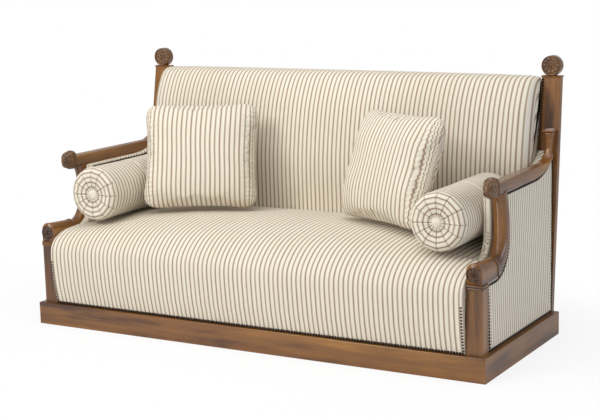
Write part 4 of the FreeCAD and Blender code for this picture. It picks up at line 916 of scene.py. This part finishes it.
def pillow(side, end):
    """Stuffed as cloth, then gathered into small folds that run in from the two side seams."""
    axes = pillow_axes(end)
    low, high = corners("pillow_" + end)
    centre = (low + high) / 2 - np.array([side * 0.010, 0.0, 0.0]) + 0.006 * axes[1]
    piece = pillow_form("pillow_cover_" + end, centre, axes)
    remesh(piece, 0.0055)
    settled(piece)
    points = places(piece)
    move_to(piece, centre + (points - centre) * 0.975)
    puff(piece, 4.0, 0.014)
    smooth = piece.modifiers.new("subdivision", "SUBSURF")
    smooth.levels = smooth.render_levels = 1
    settled(piece)
    points = places(piece) - centre
    u, v, w = (points @ axis for axis in axes)
    wide, tall = np.abs(u).max(), np.abs(v).max()
    gather = ease(0.7 * wide, 0.96 * wide, np.abs(u))
    phase = v * 2 * math.pi / GATHER_PITCH + 1.3 * np.sin(v * 31 + side) + np.sign(u) * 0.7
    fold = 0.62 * np.sin(phase) + 0.38 * np.sin(phase * 0.47 + 1.0)
    ridge = np.tanh(w / 0.006)
    between = ease(0.25 * wide, 0.8 * wide, np.abs(u)) * (1 - gather)
    crease = 0.0022 * np.sin(v * 42 + 5 * u / wide + side) * between
    dent = 0.004 * np.exp(-((v + 0.9 * tall) / 0.02) ** 2) * np.cos(u * 26 + 1.0)
    head = 0.0015 * np.exp(-(w / 0.004) ** 2) * ease(0.9 * tall, 0.98 * tall, np.abs(v))
    move_w = ridge * (gather * 0.0026 * fold + crease + dent)
    move_u = -np.sign(u) * gather * (1 - np.abs(ridge)) * (0.003 + 0.002 * fold)
    for move, axis in ((move_w, axes[2]), (move_u, axes[0]), (-head * np.sign(v), axes[1])):
        points = points + move[:, None] * axis
    move_to(piece, points + centre)
    round_edge = ease(0.84 * wide, wide, np.abs(u)) * (0.04 - 0.9 * np.abs(w))
    attribute = u + np.sign(u) * round_edge + gather * 0.0016 * fold + 0.0015 * np.sin(v * 23 + u * 9)
    set_values(piece.data, "cloth", attribute)
    dress(piece, STRIPE_RUN, "pillow_" + end, ["pillow_" + end])


for side, end in SIDE_NAMES.items():
    pillow(side, end)

# Nails

NAIL_RADIUS, NAIL_RISE, NAIL_PITCH = 5.1, 3.4, 11.4
NAILS_INSET = 11
UNDER_ARM_BEND = 380


def nail_heads(name, place, normal):
    """A row of domed heads as one mesh: rings of a small dome, set at each point along one normal.

    The place is widths, depths and heights, any of which may be a single number."""
    points = np.stack(np.broadcast_arrays(*place), -1)
    normal = np.array([normal], float)
    normal /= np.linalg.norm(normal, axis=1, keepdims=True)
    right = np.cross([[0.0, 0.0, 1.0]], normal)
    right /= np.linalg.norm(right, axis=1, keepdims=True)
    above = np.cross(normal, right)
    turn = whole_turn(8)
    share, lift = np.array([0.96, 1.0, 0.72, 0.3]), np.array([-0.5, 0.0, 0.68, 0.95]) * NAIL_RISE
    dome = np.stack([np.outer(share, np.cos(turn)) * NAIL_RADIUS, np.outer(share, np.sin(turn)) * NAIL_RADIUS,
                     np.repeat(lift[:, None], len(turn), 1)], -1).reshape(-1, 3)
    heads = points[:, None] + dome[:, :1] * right + dome[:, 1:2] * above + dome[:, 2:] * normal
    firsts = np.arange(len(points)) * len(dome)
    faces = (dome_faces(len(share), len(turn)) + firsts[:, None, None]).reshape(-1, 4)
    return dress(build(name, metres(*heads.reshape(-1, 3).T), faces), NAIL)


def row(line, pitch=NAIL_PITCH):
    """The two measures of the points at an even pitch along a line."""
    length = np.linalg.norm(np.diff(line, axis=0), axis=1).sum()
    return evenly(line, max(2, int(round(length / pitch)) + 1)).T


def panel_outside(y, z):
    """Distance out of the arm's covered panel, which leans in towards the top and the back."""
    lean = 16 + (38 - 16) * (y - 55) / 793
    return 958 - lean * (z - PLINTH_TOP) / 634


def seat_front(z):
    """Depth of the seat's front at a height near the posts."""
    depths, heights = np.array(SEAT_END[:9], float).T
    return np.interp(z, heights, depths)


x, z = row([(-892, 96), (892, 96)])
nail_heads("nails_along_plinth", (x, 11.4, z), (0, -1, 0.25))
bent, bent_rise = run_line(np.linspace(0, math.pi / 2, 30))
leaning, lean_rise = lean_line(np.linspace(0, math.asin(140 / LEAN), 16)[1:])
beside_support = np.concatenate([bent - NAILS_INSET * bent_rise, leaning - NAILS_INSET * lean_rise])
bend_at = (SOLE_AT, ARM_UNDER + UNDER_ARM_BEND)
curve = arc(bend_at, UNDER_ARM_BEND + 10, -90, -60, 14)
curve = curve[curve[:, 0] < face_at(curve[:, 1]) - 10]
rear = np.array([(face_at(688) - 8, 688), (face_at(98) - 8, 98)])
outline = np.concatenate([[(83, 97), (83, 329)], beside_support, [(264, 617)], curve, rear, [(83, 97)]])
under_arm = np.concatenate([[(258, 618)], arc(bend_at, UNDER_ARM_BEND + 10, -90, -62, 12)])
under_arm = under_arm[under_arm[:, 0] < 720]
for side, end in SIDE_NAMES.items():
    _, z = row([(0, 106), (0, 265)])
    nail_heads("nails_beside_front_post_" + end, (side * 893.0, seat_front(z) + 1.2, z), (0, -1, 0))
    _, z = row([(0, 664), (0, 968)])
    nail_heads("nails_beside_back_post_" + end, (side * 872.5, face_at(z) - 0.6, z), (0, -1, 0))
    y, z = row(outline)
    out = panel_outside(y, z) + PANEL_STUFFING + 0.6
    nail_heads("nails_round_side_panel_" + end, (side * out, y, z), (side, 0, 0.05))
    nail_heads("nails_inside_arm_" + end, (side * 867.6, *row(under_arm)), (-side, 0, 0))
x, z = row([(-858, 100), (-858, 952), (858, 952), (858, 100)], 12.0)
nail_heads("nails_outside_back", (x, face_at(z) + 26.2, z), (0, 1, -0.15))

# Springs as wire


def spring_wire():
    """Waisted coils: a helix whose radius follows a bow, as a fine tube, at each crossing of the webbing."""
    low, high = (corner * 1000 for corner in corners("seat_springs"))
    inset, coils, wire = 45, 5.5, 1.9
    xs = np.linspace(low[0] + inset, high[0] - inset, 8)
    ys = np.linspace(low[1] + inset, high[1] - inset, 3)
    t = np.linspace(0, 1, 90)
    bow = 28 + 15 * (2 * t - 1) ** 2
    turn = t * 2 * math.pi * coils
    centre = np.stack([bow * np.cos(turn), bow * np.sin(turn), low[2] + 3 + (high[2] - low[2] - 6) * t], -1)
    tangent = np.gradient(centre, axis=0)
    tangent /= np.linalg.norm(tangent, axis=1, keepdims=True)
    outwards = np.stack([np.cos(turn), np.sin(turn), 0 * turn], -1)
    above = np.cross(tangent, outwards)
    angle = whole_turn(5)[None, :, None]
    tube = centre[:, None] + wire * (np.cos(angle) * outwards[:, None] + np.sin(angle) * above[:, None])
    rows, columns = tube.shape[:2]
    starts = np.stack(np.meshgrid(xs, ys, indexing="ij"), -1).reshape(-1, 2)
    offsets = np.concatenate([starts, np.zeros((len(starts), 1))], 1)
    everything = (tube.reshape(1, -1, 3) + offsets[:, None]).reshape(-1, 3) / 1000
    faces = np.concatenate([quads(rows, columns, n * rows * columns) for n in range(len(starts))])
    return build("spring_coils", everything, faces)


dress(spring_wire(), COPPERED, replaces=["seat_springs"])

# Floor, light and camera

scene = bpy.context.scene


def white_floor():
    """A wide plain floor that keeps the settee's shadow and fades to pure white around it."""
    size = 14.0
    mesh = bpy.data.meshes.new("floor")
    mesh.from_pydata([(-size, -size, 0), (size, -size, 0), (size, size, 0), (-size, size, 0)], [],
                     [(0, 1, 2, 3)])
    floor = bpy.data.objects.new("floor", mesh)
    scene.collection.objects.link(floor)
    finish = Finish("white_floor", Roughness=0.9, Specular_IOR_Level=0.0, Base_Color=(0.9, 0.9, 0.9, 1.0))
    place = finish.scaled(finish.place(), (0.62, 1.0, 0.0))
    far = finish.node("VectorMath", {"operation": "LENGTH"}, output=1, _0=place).step(0.62, 1.25)
    white = finish.node("Emission", Color=(1.0, 1.0, 1.0, 1.0), Strength=1.0)
    seen = finish.node("LightPath", output=0)
    shader = Flow(finish.tree, finish.shader.outputs[0])
    share = (0.84 + 0.16 * far) * seen
    mixed = finish.node("MixShader", _0=share, _1=shader, _2=white)
    finish.tree.links.new(mixed.socket, finish.tree.nodes["Material Output"].inputs["Surface"])
    mesh.materials.append(finish.material)


white_floor()

world = bpy.data.worlds.new("studio")
scene.world = world
world.use_nodes = True
tree = world.node_tree
back = tree.nodes["Background"]
path = tree.nodes.new("ShaderNodeLightPath")
shown = Flow(tree, path.outputs["Is Camera Ray"]) + Flow(tree, path.outputs["Is Transmission Ray"])
level = 0.42 + 0.58 * shown + 0.04 * Flow(tree, path.outputs["Is Glossy Ray"])
tree.links.new(level.socket, back.inputs["Strength"])
back.inputs["Color"].default_value = (1.0, 1.0, 1.0, 1.0)


def lamp(name, place, target, size, watts, tone=(1.0, 1.0, 1.0)):
    """A square soft light that looks at a point."""
    data = bpy.data.lights.new(name, "AREA")
    data.shape, data.size, data.energy, data.color = "SQUARE", size, watts, tone
    light = bpy.data.objects.new(name, data)
    scene.collection.objects.link(light)
    light.location = place
    light.rotation_euler = (Vector(target) - Vector(place)).to_track_quat("-Z", "Y").to_euler()


lamp("key", (-2.4, -4.2, 3.9), (0.0, 0.0, 0.5), 1.8, 109.0, (1.0, 0.985, 0.965))
lamp("front_fill", (2.2, -5.0, 1.6), (0.2, 0.0, 0.5), 2.5, 20.0)
lamp("overhead", (0.0, -1.1, 3.6), (0.0, 0.0, 0.4), 3.0, 60.0)
lamp("spark", (-0.6, -3.4, 2.6), (0.9, -0.2, 0.45), 0.35, 9.0)
lamp("cool_side", (4.6, 1.2, 1.3), (0.9, 0.0, 0.3), 2.0, 36.0, (0.72, 0.8, 1.0))

# The camera that was fitted to the photograph, for a settee that SHRUNK takes to its true size
FOCAL, PHOTO_WIDTH = 1461.5, 600.0
STAND, SHRUNK = (2.9236, -4.5725, 1.557), 0.98
yaw, pitch, roll = math.radians(30.161), math.radians(10.544), math.radians(-1.442)
ahead = np.array([-math.sin(yaw) * math.cos(pitch), math.cos(yaw) * math.cos(pitch), -math.sin(pitch)])
level_right = np.array([math.cos(yaw), math.sin(yaw), 0.0])
level_up = np.cross(level_right, ahead)
right = level_right * math.cos(roll) + level_up * math.sin(roll)
above = -level_right * math.sin(roll) + level_up * math.cos(roll)
camera_data = bpy.data.cameras.new("camera")
camera_data.sensor_width, camera_data.sensor_fit = 36.0, "HORIZONTAL"
camera_data.lens = FOCAL / PHOTO_WIDTH * camera_data.sensor_width
camera = bpy.data.objects.new("camera", camera_data)
scene.collection.objects.link(camera)
stand = (STAND[0] * SHRUNK, STAND[1] * SHRUNK + FRONT, STAND[2] * SHRUNK)
camera.matrix_world = Matrix([[right[k], above[k], -ahead[k], stand[k]] for k in range(3)] + [[0, 0, 0, 1]])
scene.camera = camera
scene.view_settings.view_transform = "Standard"
